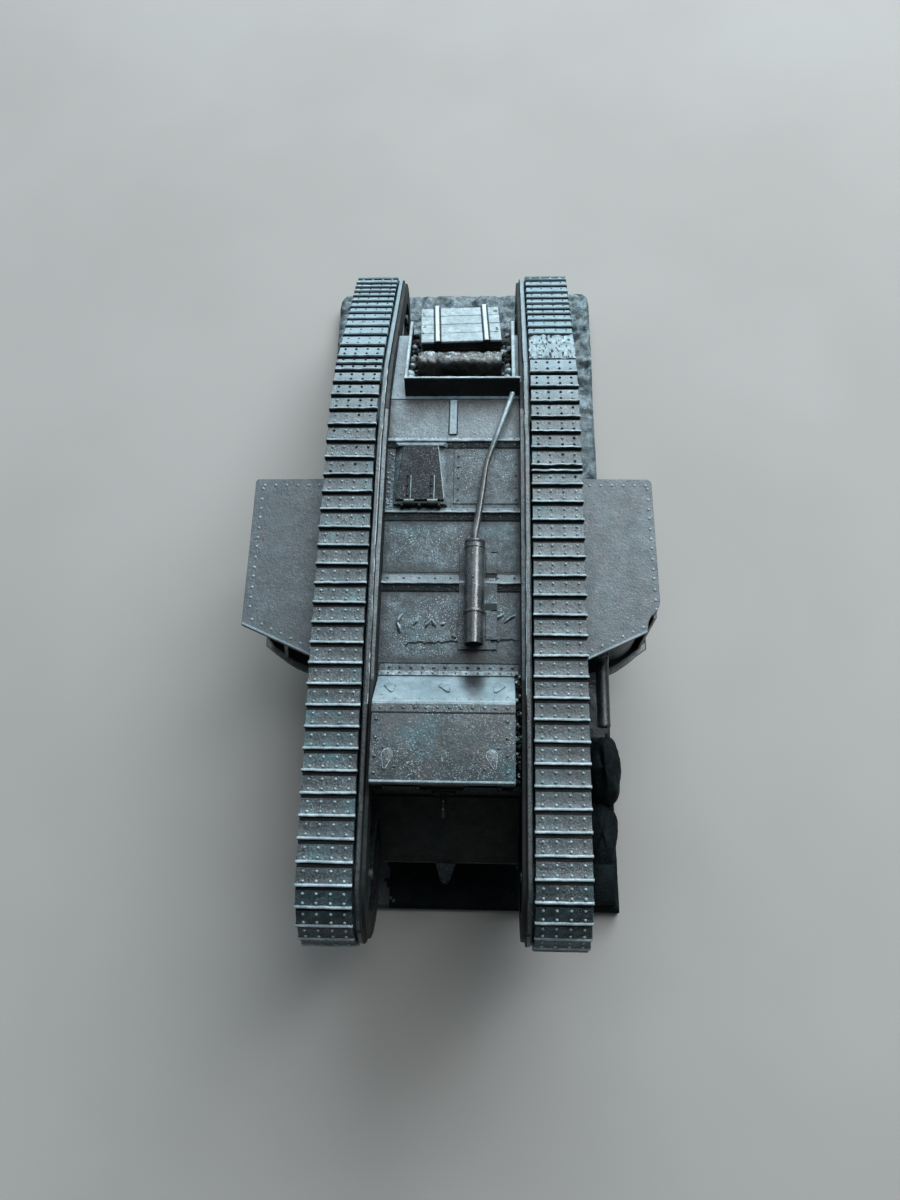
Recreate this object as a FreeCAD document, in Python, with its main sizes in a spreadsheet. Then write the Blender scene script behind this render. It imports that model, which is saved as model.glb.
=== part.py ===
import FreeCAD, Part
import math
import os

# Rhomboid heavy tank, 1/35 scale display kit, built as an assembly of separate pieces.
# +Z is up, the cab faces -Y, +X is the side that carries the gun.
# "back" is the distance behind the front of the track horns, "up" the height above the track's
# ground line, "out" the distance from the centre plane. The origin is at the middle of the
# base's underside.

V = FreeCAD.Vector
doc = FreeCAD.newDocument("tank")
sheet = doc.addObject("Spreadsheet::Sheet", "dims")

DIMENSIONS = [
    ("half_length", 119.0),
    ("base_thickness", 4.0),
    ("base_front", 10.5),
    ("base_length", 227.5),
    ("base_left", 48.0),
    ("base_right_front", 51.8),
    ("base_right_rear", 48.2),
    ("belt_inner_face", 22.6),
    ("belt_width", 14.5),
    ("belt_thickness", 1.6),
    ("horn_radius", 18.5),
    ("tail_radius", 14.5),
    ("inner_plate_face", 19.6),
    ("inner_plate_width", 2.7),
    ("inner_plate_inset", 1.0),
    ("outer_plate_face", 34.2),
    ("outer_plate_width", 2.1),
    ("outer_plate_inset", 1.8),
    ("hull_width", 39.2),
    ("plate_width", 1.0),
    ("roof_height", 59.5),
    ("strip_thickness", 0.35),
    ("cab_left", 19.3),
    ("cab_width", 37.1),
    ("cab_height", 70.0),
    ("axle_radius", 1.5),
    ("axle_length", 16.7),
    ("wheel_bore_radius", 1.56),
    ("wheel_hub_radius", 3.4),
    ("wheel_hub_width", 11.4),
    ("wheel_disc_width", 1.6),
    ("idler_radius", 16.4),
    ("sprocket_root_radius", 11.0),
    ("sprocket_tooth_height", 1.3),
    ("roller_radius", 2.2),
    ("roller_width", 11.6),
    ("spacer_radius", 2.4),
    ("sponson_outer_face", 58.2),
    ("sponson_floor_height", 22.0),
    ("sponson_plate", 1.2),
    ("sponson_wall_height", 30.0),
    ("sponson_roof_thickness", 1.0),
    ("mullion_width", 1.1),
    ("drum_radius", 9.3),
    ("drum_wall", 0.8),
    ("drum_height", 29.6),
    ("drum_pin_radius", 1.0),
    ("pivot_clearance", 0.06),
    ("gun_height", 39.0),
    ("gun_barrel_radius", 1.95),
    ("gun_sleeve_radius", 2.2),
    ("gun_bore_radius", 0.85),
    ("trunnion_radius", 0.6),
    ("trunnion_length", 7.6),
    ("ball_radius", 1.8),
    ("cab_gun_radius", 0.75),
    ("cab_gun_height", 56.0),
    ("hatch_coaming_height", 1.3),
    ("hatch_lid_thickness", 0.8),
    ("hinge_pin_radius", 0.4),
    ("hinge_tube_radius", 0.8),
    ("visor_width", 7.4),
    ("visor_height", 5.2),
    ("visor_thickness", 0.7),
    ("silencer_radius", 2.85),
    ("silencer_bore", 2.1),
    ("silencer_height", 63.35),
    ("exhaust_radius", 0.95),
    ("tray_wall_height", 6.4),
    ("tray_wall_thickness", 0.8),
    ("crate_width", 24.6),
    ("crate_height", 7.6),
    ("crate_length", 19.8),
    ("crate_lid_thickness", 0.9),
    ("crate_strap_width", 2.3),
    ("crate_strap_thickness", 0.5),
    ("tarp_radius", 4.1),
    ("tarp_length", 25.5),
    ("tow_hole_radius", 0.8),
]

for row_number, (alias, value) in enumerate(DIMENSIONS, start=1):
    sheet.set("A%d" % row_number, alias)
    sheet.set("B%d" % row_number, str(value))
    sheet.setAlias("B%d" % row_number, alias)
doc.recompute()

D = {alias: float(sheet.get(alias)) for alias, _ in DIMENSIONS}

# Sketches of side views lie in a body's own XY plane: this turns them so that the sketch's
# first axis runs back, its second runs up and the pad grows along +X.
SIDE_VIEW = FreeCAD.Rotation(V(1, 1, 1), 120)
# A cylinder's own axis, +Z, turned to +X or to +Y.
ALONG_X = FreeCAD.Rotation(V(0, 1, 0), 90)
ALONG_Y = FreeCAD.Rotation(V(1, 0, 0), -90)
UPRIGHT = FreeCAD.Rotation()
SIDES = (("left", -1), ("right", 1))
sub_parts = []


def place(out, back, up):
    """A point of the assembly, from its distances out, back and up."""
    return V(out, back - D["half_length"], up + D["base_thickness"])


def keep(piece, name):
    """Gives a finished piece its node's name and puts it on the list of sub-parts."""
    piece.Label = name
    sub_parts.append(piece)
    return piece


def span(side, inner, width):
    """The low X of something that reaches from inner to inner + width on one side."""
    return inner if side > 0 else -(inner + width)


# ---------------------------------------------------------------- sketches and outlines


def polygon(points):
    """Sketch lines round a list of points."""
    lines = []
    for index, point in enumerate(points):
        after = points[(index + 1) % len(points)]
        lines.append(Part.LineSegment(V(point[0], point[1], 0), V(after[0], after[1], 0)))
    return lines


def circle(centre, radius):
    return [Part.Circle(V(centre[0], centre[1], 0), V(0, 0, 1), radius)]


def belt_line(pulleys, inset):
    """The closed line of a belt round pulleys, each (back, up, radius), drawn in by inset."""
    count = len(pulleys)
    normals = []
    for index in range(count):
        ax, ay, ar = pulleys[index]
        bx, by, br = pulleys[(index + 1) % count]
        span_length = math.hypot(bx - ax, by - ay)
        dx = (bx - ax) / span_length
        dy = (by - ay) / span_length
        lean = (ar - br) / span_length
        rise = math.sqrt(1.0 - lean * lean)
        normals.append((dx * lean - dy * rise, dy * lean + dx * rise))
    pieces = []
    for index in range(count):
        ax, ay, ar = pulleys[index]
        bx, by, br = pulleys[(index + 1) % count]
        nx, ny = normals[index]
        start = V(ax + nx * (ar - inset), ay + ny * (ar - inset), 0)
        end = V(bx + nx * (br - inset), by + ny * (br - inset), 0)
        pieces.append(Part.LineSegment(start, end))
        mx, my = normals[(index + 1) % count]
        ring = Part.Circle(V(bx, by, 0), V(0, 0, 1), br - inset)
        pieces.append(Part.ArcOfCircle(ring, math.atan2(my, mx), math.atan2(ny, nx)))
    return pieces


def padded(name, geometry, thickness, placement):
    """A body whose one sketch, in its own XY plane, is padded by a dimension of the sheet."""
    body = doc.addObject("PartDesign::Body", name)
    sketch = body.newObject("Sketcher::SketchObject", name + "_sketch")
    for feature in body.Origin.OriginFeatures:
        if feature.Role == "XY_Plane":
            sketch.AttachmentSupport = [(feature, "")]
    sketch.MapMode = "FlatFace"
    sketch.addGeometry(geometry, False)
    pad = body.newObject("PartDesign::Pad", name + "_pad")
    pad.Profile = sketch
    pad.setExpression("Length", thickness)
    body.Placement = placement
    body.Tip = pad
    return body


def side_plate(name, geometry, thickness, low_x):
    """A piece drawn in side view as (back, up) and padded along +X from low_x."""
    return padded(name, geometry, thickness, FreeCAD.Placement(place(low_x, 0, 0), SIDE_VIEW))


def flat_plate(name, geometry, thickness, up):
    """A piece drawn in plan as (out, back) and padded upward."""
    return padded(name, geometry, thickness, FreeCAD.Placement(place(0, 0, up), UPRIGHT))


# ---------------------------------------------------------------- primitives and booleans


def box(name, sizes, corner, turn=UPRIGHT):
    """A Part::Box whose three sizes are numbers or expressions of the sheet."""
    piece = doc.addObject("Part::Box", name)
    for attribute, size in zip(("Length", "Width", "Height"), sizes):
        if isinstance(size, str):
            piece.setExpression(attribute, size)
        else:
            setattr(piece, attribute, size)
    piece.Placement = FreeCAD.Placement(corner, turn)
    return piece


def rod(name, radius, length, foot, turn):
    """A Part::Cylinder whose radius and length are numbers or expressions of the sheet."""
    piece = doc.addObject("Part::Cylinder", name)
    for attribute, size in (("Radius", radius), ("Height", length)):
        if isinstance(size, str):
            piece.setExpression(attribute, size)
        else:
            setattr(piece, attribute, size)
    piece.Placement = FreeCAD.Placement(foot, turn)
    return piece


def cut(name, base, tool):
    piece = doc.addObject("Part::Cut", name)
    piece.Base = base
    piece.Tool = tool
    return piece


def fuse(name, pieces):
    piece = doc.addObject("Part::MultiFuse", name)
    piece.Shapes = pieces
    return piece


def common(name, base, tool):
    piece = doc.addObject("Part::MultiCommon", name)
    piece.Shapes = [base, tool]
    return piece


def group(name, pieces):
    """Identical or matching separate solids kept as one node."""
    piece = doc.addObject("Part::Compound", name)
    piece.Links = pieces
    return piece


# ---------------------------------------------------------------- running gear

HORN = (18.5, 47.5)
TAIL = (214.5, 18.5)
LOWER_FRONT = (84.0, 60.0, 60.0)
LOWER_REAR = (138.0, 100.0, 100.0)
REAR_SLOPE = 0.053
PULLEYS = [
    (HORN[0], HORN[1], D["horn_radius"]),
    (82.0, -431.7, 500.0),
    (135.3, -24.1, 90.0),
    (TAIL[0], TAIL[1], D["tail_radius"]),
    LOWER_REAR,
    LOWER_FRONT,
]
SPROCKET_TEETH = 14
IDLER_HOLES = 6
IDLER_HOLE_RADIUS = 3.0
ROLLER_BACKS = [50 + 16 * step for step in range(10)]


def track_belt(name, side):
    """One endless belt of track plates, as a closed band."""
    geometry = belt_line(PULLEYS, 0.0) + belt_line(PULLEYS, D["belt_thickness"])
    low_x = span(side, D["belt_inner_face"], D["belt_width"])
    return keep(side_plate(name, geometry, "dims.belt_width", low_x), name)


def frame_plate(name, side, which):
    """A full side plate of a track frame, bored for the two axles."""
    axle = D["axle_radius"]
    geometry = belt_line(PULLEYS, D[which + "_plate_inset"]) + circle(HORN, axle) + circle(TAIL, axle)
    low_x = span(side, D[which + "_plate_face"], D[which + "_plate_width"])
    return keep(side_plate(name, geometry, "dims.%s_plate_width" % which, low_x), name)


def wheel_blank(name, side, centre, rim_radius):
    """Two discs on a hub, before boring."""
    hub_low = span(side, D["belt_inner_face"] - 0.1, D["wheel_hub_width"])
    disc_width = D["wheel_disc_width"]
    hub = rod(name + "_hub", "dims.wheel_hub_radius", "dims.wheel_hub_width",
              place(hub_low, *centre), ALONG_X)
    discs = []
    for index, inset in enumerate((2.2, D["wheel_hub_width"] - 2.2 - disc_width)):
        foot = place(hub_low + inset, *centre)
        discs.append(rod("%s_disc_%d" % (name, index), rim_radius, "dims.wheel_disc_width", foot, ALONG_X))
    return hub, discs, hub_low


def bored(name, blank, centre, hub_low):
    tool = rod(name + "_bore", "dims.wheel_bore_radius", D["wheel_hub_width"] + 2,
               place(hub_low - 1, *centre), ALONG_X)
    return cut(name, blank, tool)


def ring_of_holes(name, centre, low_x, count, ring_radius, hole_radius):
    tools = []
    for index in range(count):
        angle = 2 * math.pi * index / count
        foot = place(low_x - 1, centre[0] + ring_radius * math.cos(angle),
                     centre[1] + ring_radius * math.sin(angle))
        tools.append(rod("%s_%d" % (name, index), hole_radius, D["wheel_hub_width"] + 2, foot, ALONG_X))
    return fuse(name, tools)


def idler(name, side):
    hub, discs, hub_low = wheel_blank(name, side, HORN, "dims.idler_radius")
    blank = cut(name + "_lightened", fuse(name + "_blank", [hub] + discs),
                ring_of_holes(name + "_holes", HORN, hub_low, IDLER_HOLES, 10.0, IDLER_HOLE_RADIUS))
    return keep(bored(name, blank, HORN, hub_low), name)


def sprocket(name, side):
    """A pair of toothed discs on one hub."""
    hub, discs, hub_low = wheel_blank(name, side, TAIL, "dims.sprocket_root_radius")
    root = D["sprocket_root_radius"]
    tip = root + D["sprocket_tooth_height"]
    foot_half = math.pi / SPROCKET_TEETH * 0.55
    tip_half = foot_half * 0.45
    teeth = []
    for tooth in range(SPROCKET_TEETH):
        angle = 2 * math.pi * tooth / SPROCKET_TEETH
        corners = []
        tooth_corners = ((root - 1, -foot_half), (tip, -tip_half), (tip, tip_half), (root - 1, foot_half))
        for radius, turn in tooth_corners:
            corners.append(V(radius * math.cos(angle + turn), radius * math.sin(angle + turn), 0))
        wire = Part.makePolygon(corners + [corners[0]])
        for disc in discs:
            prism = Part.Face(wire).extrude(V(0, 0, D["wheel_disc_width"]))
            prism.Placement = FreeCAD.Placement(disc.Placement.Base, SIDE_VIEW)
            teeth.append(prism)
    crown = doc.addObject("Part::Feature", name + "_teeth")
    crown.Shape = Part.makeCompound(teeth)
    blank = fuse(name + "_blank", [hub] + discs + [crown])
    return keep(bored(name, blank, TAIL, hub_low), name)


def axles(name, centre):
    """The two fixed axle pins of one kind, a pin in each track frame."""
    pieces = []
    for side_name, side in SIDES:
        low_x = span(side, D["inner_plate_face"], D["axle_length"])
        pieces.append(rod(name + "_" + side_name, "dims.axle_radius", "dims.axle_length",
                          place(low_x, *centre), ALONG_X))
    return keep(group(name, pieces), name)


def lower_height(back):
    """Height of the belt's inner face at the lower run."""
    front_rise = LOWER_FRONT[2] - math.sqrt(LOWER_FRONT[2] ** 2 - min(0.0, back - LOWER_FRONT[0]) ** 2)
    rear_rise = REAR_SLOPE * max(0.0, back - LOWER_REAR[0])
    return D["belt_thickness"] + front_rise + rear_rise


def rollers(name):
    """The fixed rollers above the lower run of each belt."""
    pieces = []
    for side_name, side in SIDES:
        low_x = span(side, D["belt_inner_face"], D["roller_width"])
        for index, back in enumerate(ROLLER_BACKS):
            up = lower_height(back) + D["roller_radius"] + 0.3
            pieces.append(rod("%s_%s_%d" % (name, side_name, index), "dims.roller_radius",
                              "dims.roller_width", place(low_x, back, up), ALONG_X))
    return keep(group(name, pieces), name)


for side_name, sign in SIDES:
    track_belt("track_belt_" + side_name, sign)
    frame_plate("inner_frame_" + side_name, sign, "inner")
    frame_plate("outer_frame_" + side_name, sign, "outer")
    idler("idler_" + side_name, sign)
    sprocket("sprocket_" + side_name, sign)
axles("idler_axles", HORN)
axles("sprocket_axles", TAIL)
rollers("rollers")


# ---------------------------------------------------------------- hull

DECK_FRONT = (157.1, 57.43)
DECK_REAR = (190.5, 42.5)
DECK_FALL = (DECK_FRONT[1] - DECK_REAR[1]) / (DECK_REAR[0] - DECK_FRONT[0])
NOSE = (22.8, 28.0)
GLACIS_TOP = (39.6, 46.5)
BELLY_FRONT = (52.0, 11.0)
BELLY_REAR = (193.0, 11.0)
HULL_LOW_X = -D["hull_width"] / 2
HATCH_FRONT = 120.6
HATCH_REAR = 139.4
HATCH_RIM = 1.6
PLATE = D["plate_width"]


def hatch_outline(grow):
    """The roof hatch in plan: wide at the hinge, narrow at the rear."""
    return [(-16.9 - grow, HATCH_FRONT - grow), (-2.1 + grow, HATCH_FRONT - grow),
            (-4.2 + grow, HATCH_REAR + grow), (-15.0 - grow, HATCH_REAR + grow)]


def roof_plate_hatch(name):
    """The roof plate with the hatch's opening."""
    half = D["hull_width"] / 2
    outline = [(-half, 118.0), (half, 118.0), (half, 140.2), (-half, 140.2)]
    geometry = polygon(outline) + polygon(hatch_outline(-HATCH_RIM))
    return keep(flat_plate(name, geometry, "dims.plate_width", D["roof_height"] - PLATE), name)


def sheet_between(name, start, end, thickness=PLATE, width="dims.hull_width", low_x=HULL_LOW_X):
    """A plate seen edge-on: its outer face runs from start to end, its thickness lies to the right."""
    dx = end[0] - start[0]
    dy = end[1] - start[1]
    length = math.hypot(dx, dy)
    nx = dy / length * thickness
    ny = -dx / length * thickness
    points = [start, end, (end[0] + nx, end[1] + ny), (start[0] + nx, start[1] + ny)]
    return keep(side_plate(name, polygon(points), width, low_x), name)


sheet_between("roof_plate_front", (60.0, 59.5), (96.4, 59.5))
sheet_between("roof_plate_middle", (96.4, 59.5), (118.0, 59.5))
sheet_between("roof_plate_rear", (140.4, 59.5), DECK_FRONT)
sheet_between("rear_deck", (DECK_FRONT[0] + 0.45, DECK_FRONT[1] - 0.45 * DECK_FALL), DECK_REAR)
sheet_between("rear_plate", (DECK_REAR[0] - 0.1, DECK_REAR[1] - 0.95), (194.5, 12.2))
sheet_between("belly_plate", BELLY_REAR, BELLY_FRONT)
sheet_between("nose_plate", (BELLY_FRONT[0] - 0.55, BELLY_FRONT[1] + 0.1), NOSE)
sheet_between("glacis_plate", (NOSE[0] + 0.68, NOSE[1] + 1.09), GLACIS_TOP)

roof_plate_hatch("roof_plate_hatch")

STRIPS = [(69.9, 72.4), (93.8, 99.0), (115.7, 119.2)]


def cover_strips(name):
    """The riveted cover strips over the joints of the roof plates."""
    pieces = []
    for index, (front, rear) in enumerate(STRIPS):
        pieces.append(box("%s_%d" % (name, index), ("dims.hull_width", rear - front, "dims.strip_thickness"),
                          place(HULL_LOW_X, front, D["roof_height"])))
    return keep(group(name, pieces), name)


cover_strips("roof_cover_strips")


def spacers(name):
    pieces = []
    for index, centre in enumerate(((62.0, 38.0), (120.0, 38.0), (176.0, 28.0))):
        pieces.append(rod("%s_%d" % (name, index), "dims.spacer_radius", 2 * D["inner_plate_face"],
                          place(-D["inner_plate_face"], *centre), ALONG_X))
    return keep(group(name, pieces), name)


spacers("cross_spacers")


def tow_bracket(name):
    """A flat triangular lug with a hole, on the nose."""
    geometry = polygon([(-4.2, 22.95), (-2.6, 18.2), (-1.6, 17.0), (-0.9, 17.0), (0.2, 18.2), (1.8, 22.95)])
    geometry += circle((-1.2, 19.2), D["tow_hole_radius"])
    return keep(flat_plate(name, geometry, "dims.plate_width", 26.9), name)


tow_bracket("tow_bracket")


# ---------------------------------------------------------------- cab

CAB_FRONT = 39.6
CAB_BACK = CAB_FRONT + PLATE
CAB_TOP = D["cab_height"]
CAB_EAVES = CAB_TOP - PLATE
CAB_LOW_X = -D["cab_left"]
CAB_HIGH_X = CAB_LOW_X + D["cab_width"]
CAB_REAR_TOP = (60.5, CAB_TOP + 0.4)
CAB_REAR_FOOT = (69.8, D["roof_height"])
CAB_REAR_INSIDE = [(68.4, D["roof_height"]), (59.7, CAB_EAVES)]
CAB_ROOF_REAR = 58.6
VISOR_HINGE = (38.75, 67.2)
VISOR_MIDDLES = {"left": -11.2, "right": 9.6}
GUN_MIDDLE = -0.9
BALL = (CAB_FRONT + 0.5, D["cab_gun_height"])
BALL_HOLE = D["ball_radius"] + 0.08


def cab_sides(name):
    points = [(CAB_BACK, D["roof_height"])] + CAB_REAR_INSIDE + [(CAB_BACK, CAB_EAVES)]
    pieces = []
    for side_name, low_x in (("left", CAB_LOW_X), ("right", CAB_HIGH_X - PLATE)):
        pieces.append(side_plate(name + "_" + side_name, polygon(points), "dims.plate_width", low_x))
    return keep(group(name, pieces), name)


def cab_rear(name):
    """The sloping rear plate, with the angle strip along the cab's rear top edge."""
    lip = CAB_ROOF_REAR - 1.0
    points = [(lip, CAB_TOP), (lip, CAB_REAR_TOP[1]), CAB_REAR_TOP, CAB_REAR_FOOT] + CAB_REAR_INSIDE
    points += [(CAB_ROOF_REAR, CAB_EAVES), (CAB_ROOF_REAR, CAB_TOP)]
    return keep(side_plate(name, polygon(points), "dims.cab_width", CAB_LOW_X), name)


def cab_front(name):
    """The upright plate from the glacis to the cab's roof: two vision slots and the gun's hole."""
    half = D["hull_width"] / 2
    outline = [(-half, GLACIS_TOP[1] + 0.3), (half, GLACIS_TOP[1] + 0.3), (half, D["roof_height"]),
               (CAB_HIGH_X, D["roof_height"]), (CAB_HIGH_X, CAB_EAVES), (CAB_LOW_X, CAB_EAVES),
               (CAB_LOW_X, D["roof_height"]), (-half, D["roof_height"])]
    geometry = polygon(outline) + circle((GUN_MIDDLE, BALL[1]), BALL_HOLE)
    for middle in VISOR_MIDDLES.values():
        geometry += polygon([(middle - 2, 63.6), (middle + 2, 63.6), (middle + 2, 64.4), (middle - 2, 64.4)])
    placement = FreeCAD.Placement(place(0, CAB_BACK, 0), FreeCAD.Rotation(V(1, 0, 0), 90))
    return keep(padded(name, geometry, "dims.plate_width", placement), name)


cab_sides("cab_sides")
cab_rear("cab_rear_plate")
cab_front("cab_front_plate")
sheet_between("cab_roof", (CAB_FRONT - 0.4, CAB_TOP), (CAB_ROOF_REAR, CAB_TOP), PLATE, "dims.cab_width",
              CAB_LOW_X)


def ball_socket(name):
    """The front gun's ring on the upright plate."""
    ring = rod(name + "_ring", 3.2, 1.0, place(GUN_MIDDLE, CAB_FRONT - 1.0, BALL[1]), ALONG_Y)
    bore = rod(name + "_bore", BALL_HOLE, 3.0, place(GUN_MIDDLE, CAB_FRONT - 2.0, BALL[1]), ALONG_Y)
    return keep(cut(name, ring, bore), name)


def cab_gun(name):
    """The front machine gun: a ball with its barrel."""
    ball = doc.addObject("Part::Sphere", name + "_ball")
    ball.setExpression("Radius", "dims.ball_radius")
    ball.Placement = FreeCAD.Placement(place(GUN_MIDDLE, *BALL), UPRIGHT)
    muzzle = place(GUN_MIDDLE, BALL[0] - 7.6, BALL[1])
    barrel = rod(name + "_barrel", "dims.cab_gun_radius", 6.6, muzzle, ALONG_Y)
    muzzle = rod(name + "_muzzle", 0.35, 3.0, place(GUN_MIDDLE, BALL[0] - 8.2, BALL[1]), ALONG_Y)
    return keep(cut(name, fuse(name + "_solid", [ball, barrel]), muzzle), name)


ball_socket("cab_gun_socket")
cab_gun("cab_gun")

VISOR_PIN = 0.3


def visor(side_name, middle):
    """A drop flap over a vision slot, with the tube it hangs by."""
    name = "visor_" + side_name
    half = D["visor_width"] / 2
    leaf = box(name + "_leaf", ("dims.visor_width", "dims.visor_thickness", "dims.visor_height"),
               place(middle - half, VISOR_HINGE[0] - 0.35, VISOR_HINGE[1] - 0.3 - D["visor_height"]))
    tube = rod(name + "_tube", 0.65, "dims.visor_width", place(middle - half, *VISOR_HINGE), ALONG_X)
    bore = rod(name + "_bore", VISOR_PIN + 0.05, D["visor_width"] + 2,
               place(middle - half - 1, *VISOR_HINGE), ALONG_X)
    keep(cut(name, fuse(name + "_solid", [leaf, tube]), bore), name)


def visor_hinges(name):
    """The pin of each flap, held between two lugs on the front plate."""
    pieces = []
    for side_name, middle in VISOR_MIDDLES.items():
        lug_reach = D["visor_width"] / 2 + 0.2
        lugs = []
        for index, low in enumerate((middle - lug_reach - 0.8, middle + lug_reach)):
            lugs.append(box("%s_%s_lug_%d" % (name, side_name, index),
                            (0.8, CAB_FRONT - VISOR_HINGE[0] + 0.5, 1.2),
                            place(low, VISOR_HINGE[0] - 0.5, VISOR_HINGE[1] - 0.6)))
        pin = rod("%s_%s_pin" % (name, side_name), VISOR_PIN, 2 * lug_reach + 1.6,
                  place(middle - lug_reach - 0.8, *VISOR_HINGE), ALONG_X)
        pieces.append(fuse("%s_%s" % (name, side_name), [pin] + lugs))
    return keep(group(name, pieces), name)


for side_name, _ in SIDES:
    visor(side_name, VISOR_MIDDLES[side_name])
visor_hinges("visor_hinges")

COVER_HALF_WIDTH = 1.6


def port_covers(name):
    """Teardrop covers of the pistol ports: three on the cab's rear slope, two on its roof."""
    slope = math.degrees(math.atan2(CAB_REAR_FOOT[1] - CAB_REAR_TOP[1], CAB_REAR_FOOT[0] - CAB_REAR_TOP[0]))
    tilted = FreeCAD.Rotation(V(1, 0, 0), slope)
    middle = ((CAB_REAR_TOP[0] + CAB_REAR_FOOT[0]) / 2, (CAB_REAR_TOP[1] + CAB_REAR_FOOT[1]) / 2)
    seats = [((out, middle[0], middle[1]), tilted, 2.0) for out in (-15.4, -0.9, 13.8)]
    seats += [((out, 45.4, CAB_TOP), UPRIGHT, 2.9) for out in (-14.7, 11.9)]
    pieces = []
    for (out, back, up), turn, length in seats:
        disc = Part.makeCylinder(COVER_HALF_WIDTH, 0.35)
        tip = Part.makeCylinder(0.55, 0.35, V(0, -length, 0))
        web = [V(-COVER_HALF_WIDTH, 0, 0), V(-0.5, -length, 0), V(0.5, -length, 0), V(COVER_HALF_WIDTH, 0, 0)]
        plate = Part.Face(Part.makePolygon(web + [web[0]])).extrude(V(0, 0, 0.35))
        piece = disc.fuse([tip, plate]).removeSplitter()
        piece.Placement = FreeCAD.Placement(place(out, back, up), turn)
        pieces.append(piece)
    feature = doc.addObject("Part::Feature", name)
    feature.Shape = Part.makeCompound(pieces)
    return keep(feature, name)


port_covers("port_covers")


# ---------------------------------------------------------------- roof hatch

HATCH_HINGE = (HATCH_FRONT - 0.15, D["roof_height"] + D["hatch_coaming_height"] + 0.95)
LID_UP = D["roof_height"] + D["hatch_coaming_height"] + 0.1

coaming_lines = polygon(hatch_outline(0.0)) + polygon(hatch_outline(-HATCH_RIM))
keep(flat_plate("hatch_coaming", coaming_lines, "dims.hatch_coaming_height", D["roof_height"]),
     "hatch_coaming")


def hatch_lid(name):
    lid = flat_plate(name + "_leaf", polygon([(-16.6, 121.6), (-2.4, 121.6), (-4.4, 139.2), (-14.8, 139.2)]),
                     "dims.hatch_lid_thickness", LID_UP)
    tubes = []
    for index, out in enumerate((-12.6, -5.8)):
        tubes.append(rod("%s_tube_%d" % (name, index), "dims.hinge_tube_radius", 2.6,
                         place(out - 1.3, *HATCH_HINGE), ALONG_X))
        tubes.append(box("%s_strap_%d" % (name, index), (1.5, 8.8, 0.5),
                         place(out - 0.75, HATCH_HINGE[0], LID_UP + D["hatch_lid_thickness"] - 0.1)))
        tubes.append(box("%s_bar_%d" % (name, index), (3.6, 1.4, 0.5),
                         place(out - 1.8, HATCH_HINGE[0] + 1.2, LID_UP + D["hatch_lid_thickness"] - 0.1)))
    bore = rod(name + "_bore", "dims.hinge_pin_radius + 0.05", 14.0, place(-16.2, *HATCH_HINGE), ALONG_X)
    return keep(cut(name, fuse(name + "_solid", [lid] + tubes), bore), name)


def hatch_hinge(name):
    """The fixed pin of the hatch, held in three lugs on the roof."""
    pin = rod(name + "_pin", "dims.hinge_pin_radius", 11.6, place(-15.0, *HATCH_HINGE), ALONG_X)
    lugs = []
    for index, out in enumerate((-15.0, -9.9, -4.2)):
        lugs.append(box("%s_lug_%d" % (name, index), (0.8, 1.2, HATCH_HINGE[1] - D["roof_height"] + 0.6),
                        place(out, HATCH_HINGE[0] - 1.05, D["roof_height"])))
    return keep(fuse(name, [pin] + lugs), name)


hatch_lid("hatch_lid")
hatch_hinge("hatch_hinge")


# ---------------------------------------------------------------- silencer and exhaust

SILENCER_OUT = 6.7
SILENCER_TAIL = 77.8
SILENCER_BAND = 86.4
SILENCER_CAP = 105.4
SILENCER_REAR = 108.0


def silencer():
    height = D["silencer_height"]
    radius = D["silencer_radius"]
    body = rod("silencer_drum", "dims.silencer_radius", SILENCER_CAP - SILENCER_BAND,
               place(SILENCER_OUT, SILENCER_BAND, height), ALONG_Y)
    band = rod("silencer_band", radius + 0.2, 1.0, place(SILENCER_OUT, SILENCER_BAND, height), ALONG_Y)
    keep(fuse("silencer_body", [body, band]), "silencer_body")
    keep(rod("silencer_cap", radius + 0.15, SILENCER_REAR - SILENCER_CAP,
             place(SILENCER_OUT, SILENCER_CAP, height), ALONG_Y), "silencer_cap")
    tail = rod("silencer_tail_tube", radius - 0.15, SILENCER_BAND - SILENCER_TAIL,
               place(SILENCER_OUT, SILENCER_TAIL, height), ALONG_Y)
    bore = rod("silencer_tail_bore", "dims.silencer_bore", 6.0,
               place(SILENCER_OUT, SILENCER_TAIL - 1.0, height), ALONG_Y)
    keep(cut("silencer_tailpipe", tail, bore), "silencer_tailpipe")


silencer()


def silencer_plate(name):
    """The plate under the silencer, cut away along its free side into tabs, with two saddles."""
    low = 2.3
    high = 13.0
    waist = 11.3
    foot = D["roof_height"] + D["strip_thickness"]
    outline = [(low, 77.3), (high, 77.3), (high, 79.2), (waist, 79.2), (waist, 88.6), (high, 88.6),
               (high, 99.0), (waist, 99.0), (waist, 106.0), (high, 106.0), (high, 108.2), (low, 108.2)]
    slab = flat_plate(name + "_slab", polygon(outline), "dims.strip_thickness", foot)
    saddles = []
    for index, back in enumerate((88.6, 101.5)):
        saddles.append(box("%s_saddle_%d" % (name, index), (3.0, 2.2, 0.9),
                           place(SILENCER_OUT - 1.5, back, foot + D["strip_thickness"])))
    cradle = rod(name + "_cradle", "dims.silencer_radius", 16.8,
                 place(SILENCER_OUT, 87.8, D["silencer_height"]), ALONG_Y)
    return keep(cut(name, fuse(name + "_solid", [slab] + saddles), cradle), name)


silencer_plate("silencer_plate")

EXHAUST_ROUTE = [
    (6.7, 108.0, 63.35),
    (6.7, 110.5, 63.35),
    (7.3, 114.5, 62.9),
    (8.6, 124.0, 62.2),
    (9.9, 133.5, 61.7),
    (13.0, 143.5, 61.2),
    (16.4, 154.5, 59.9),
    (17.4, 158.0, 59.6),
]


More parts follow.
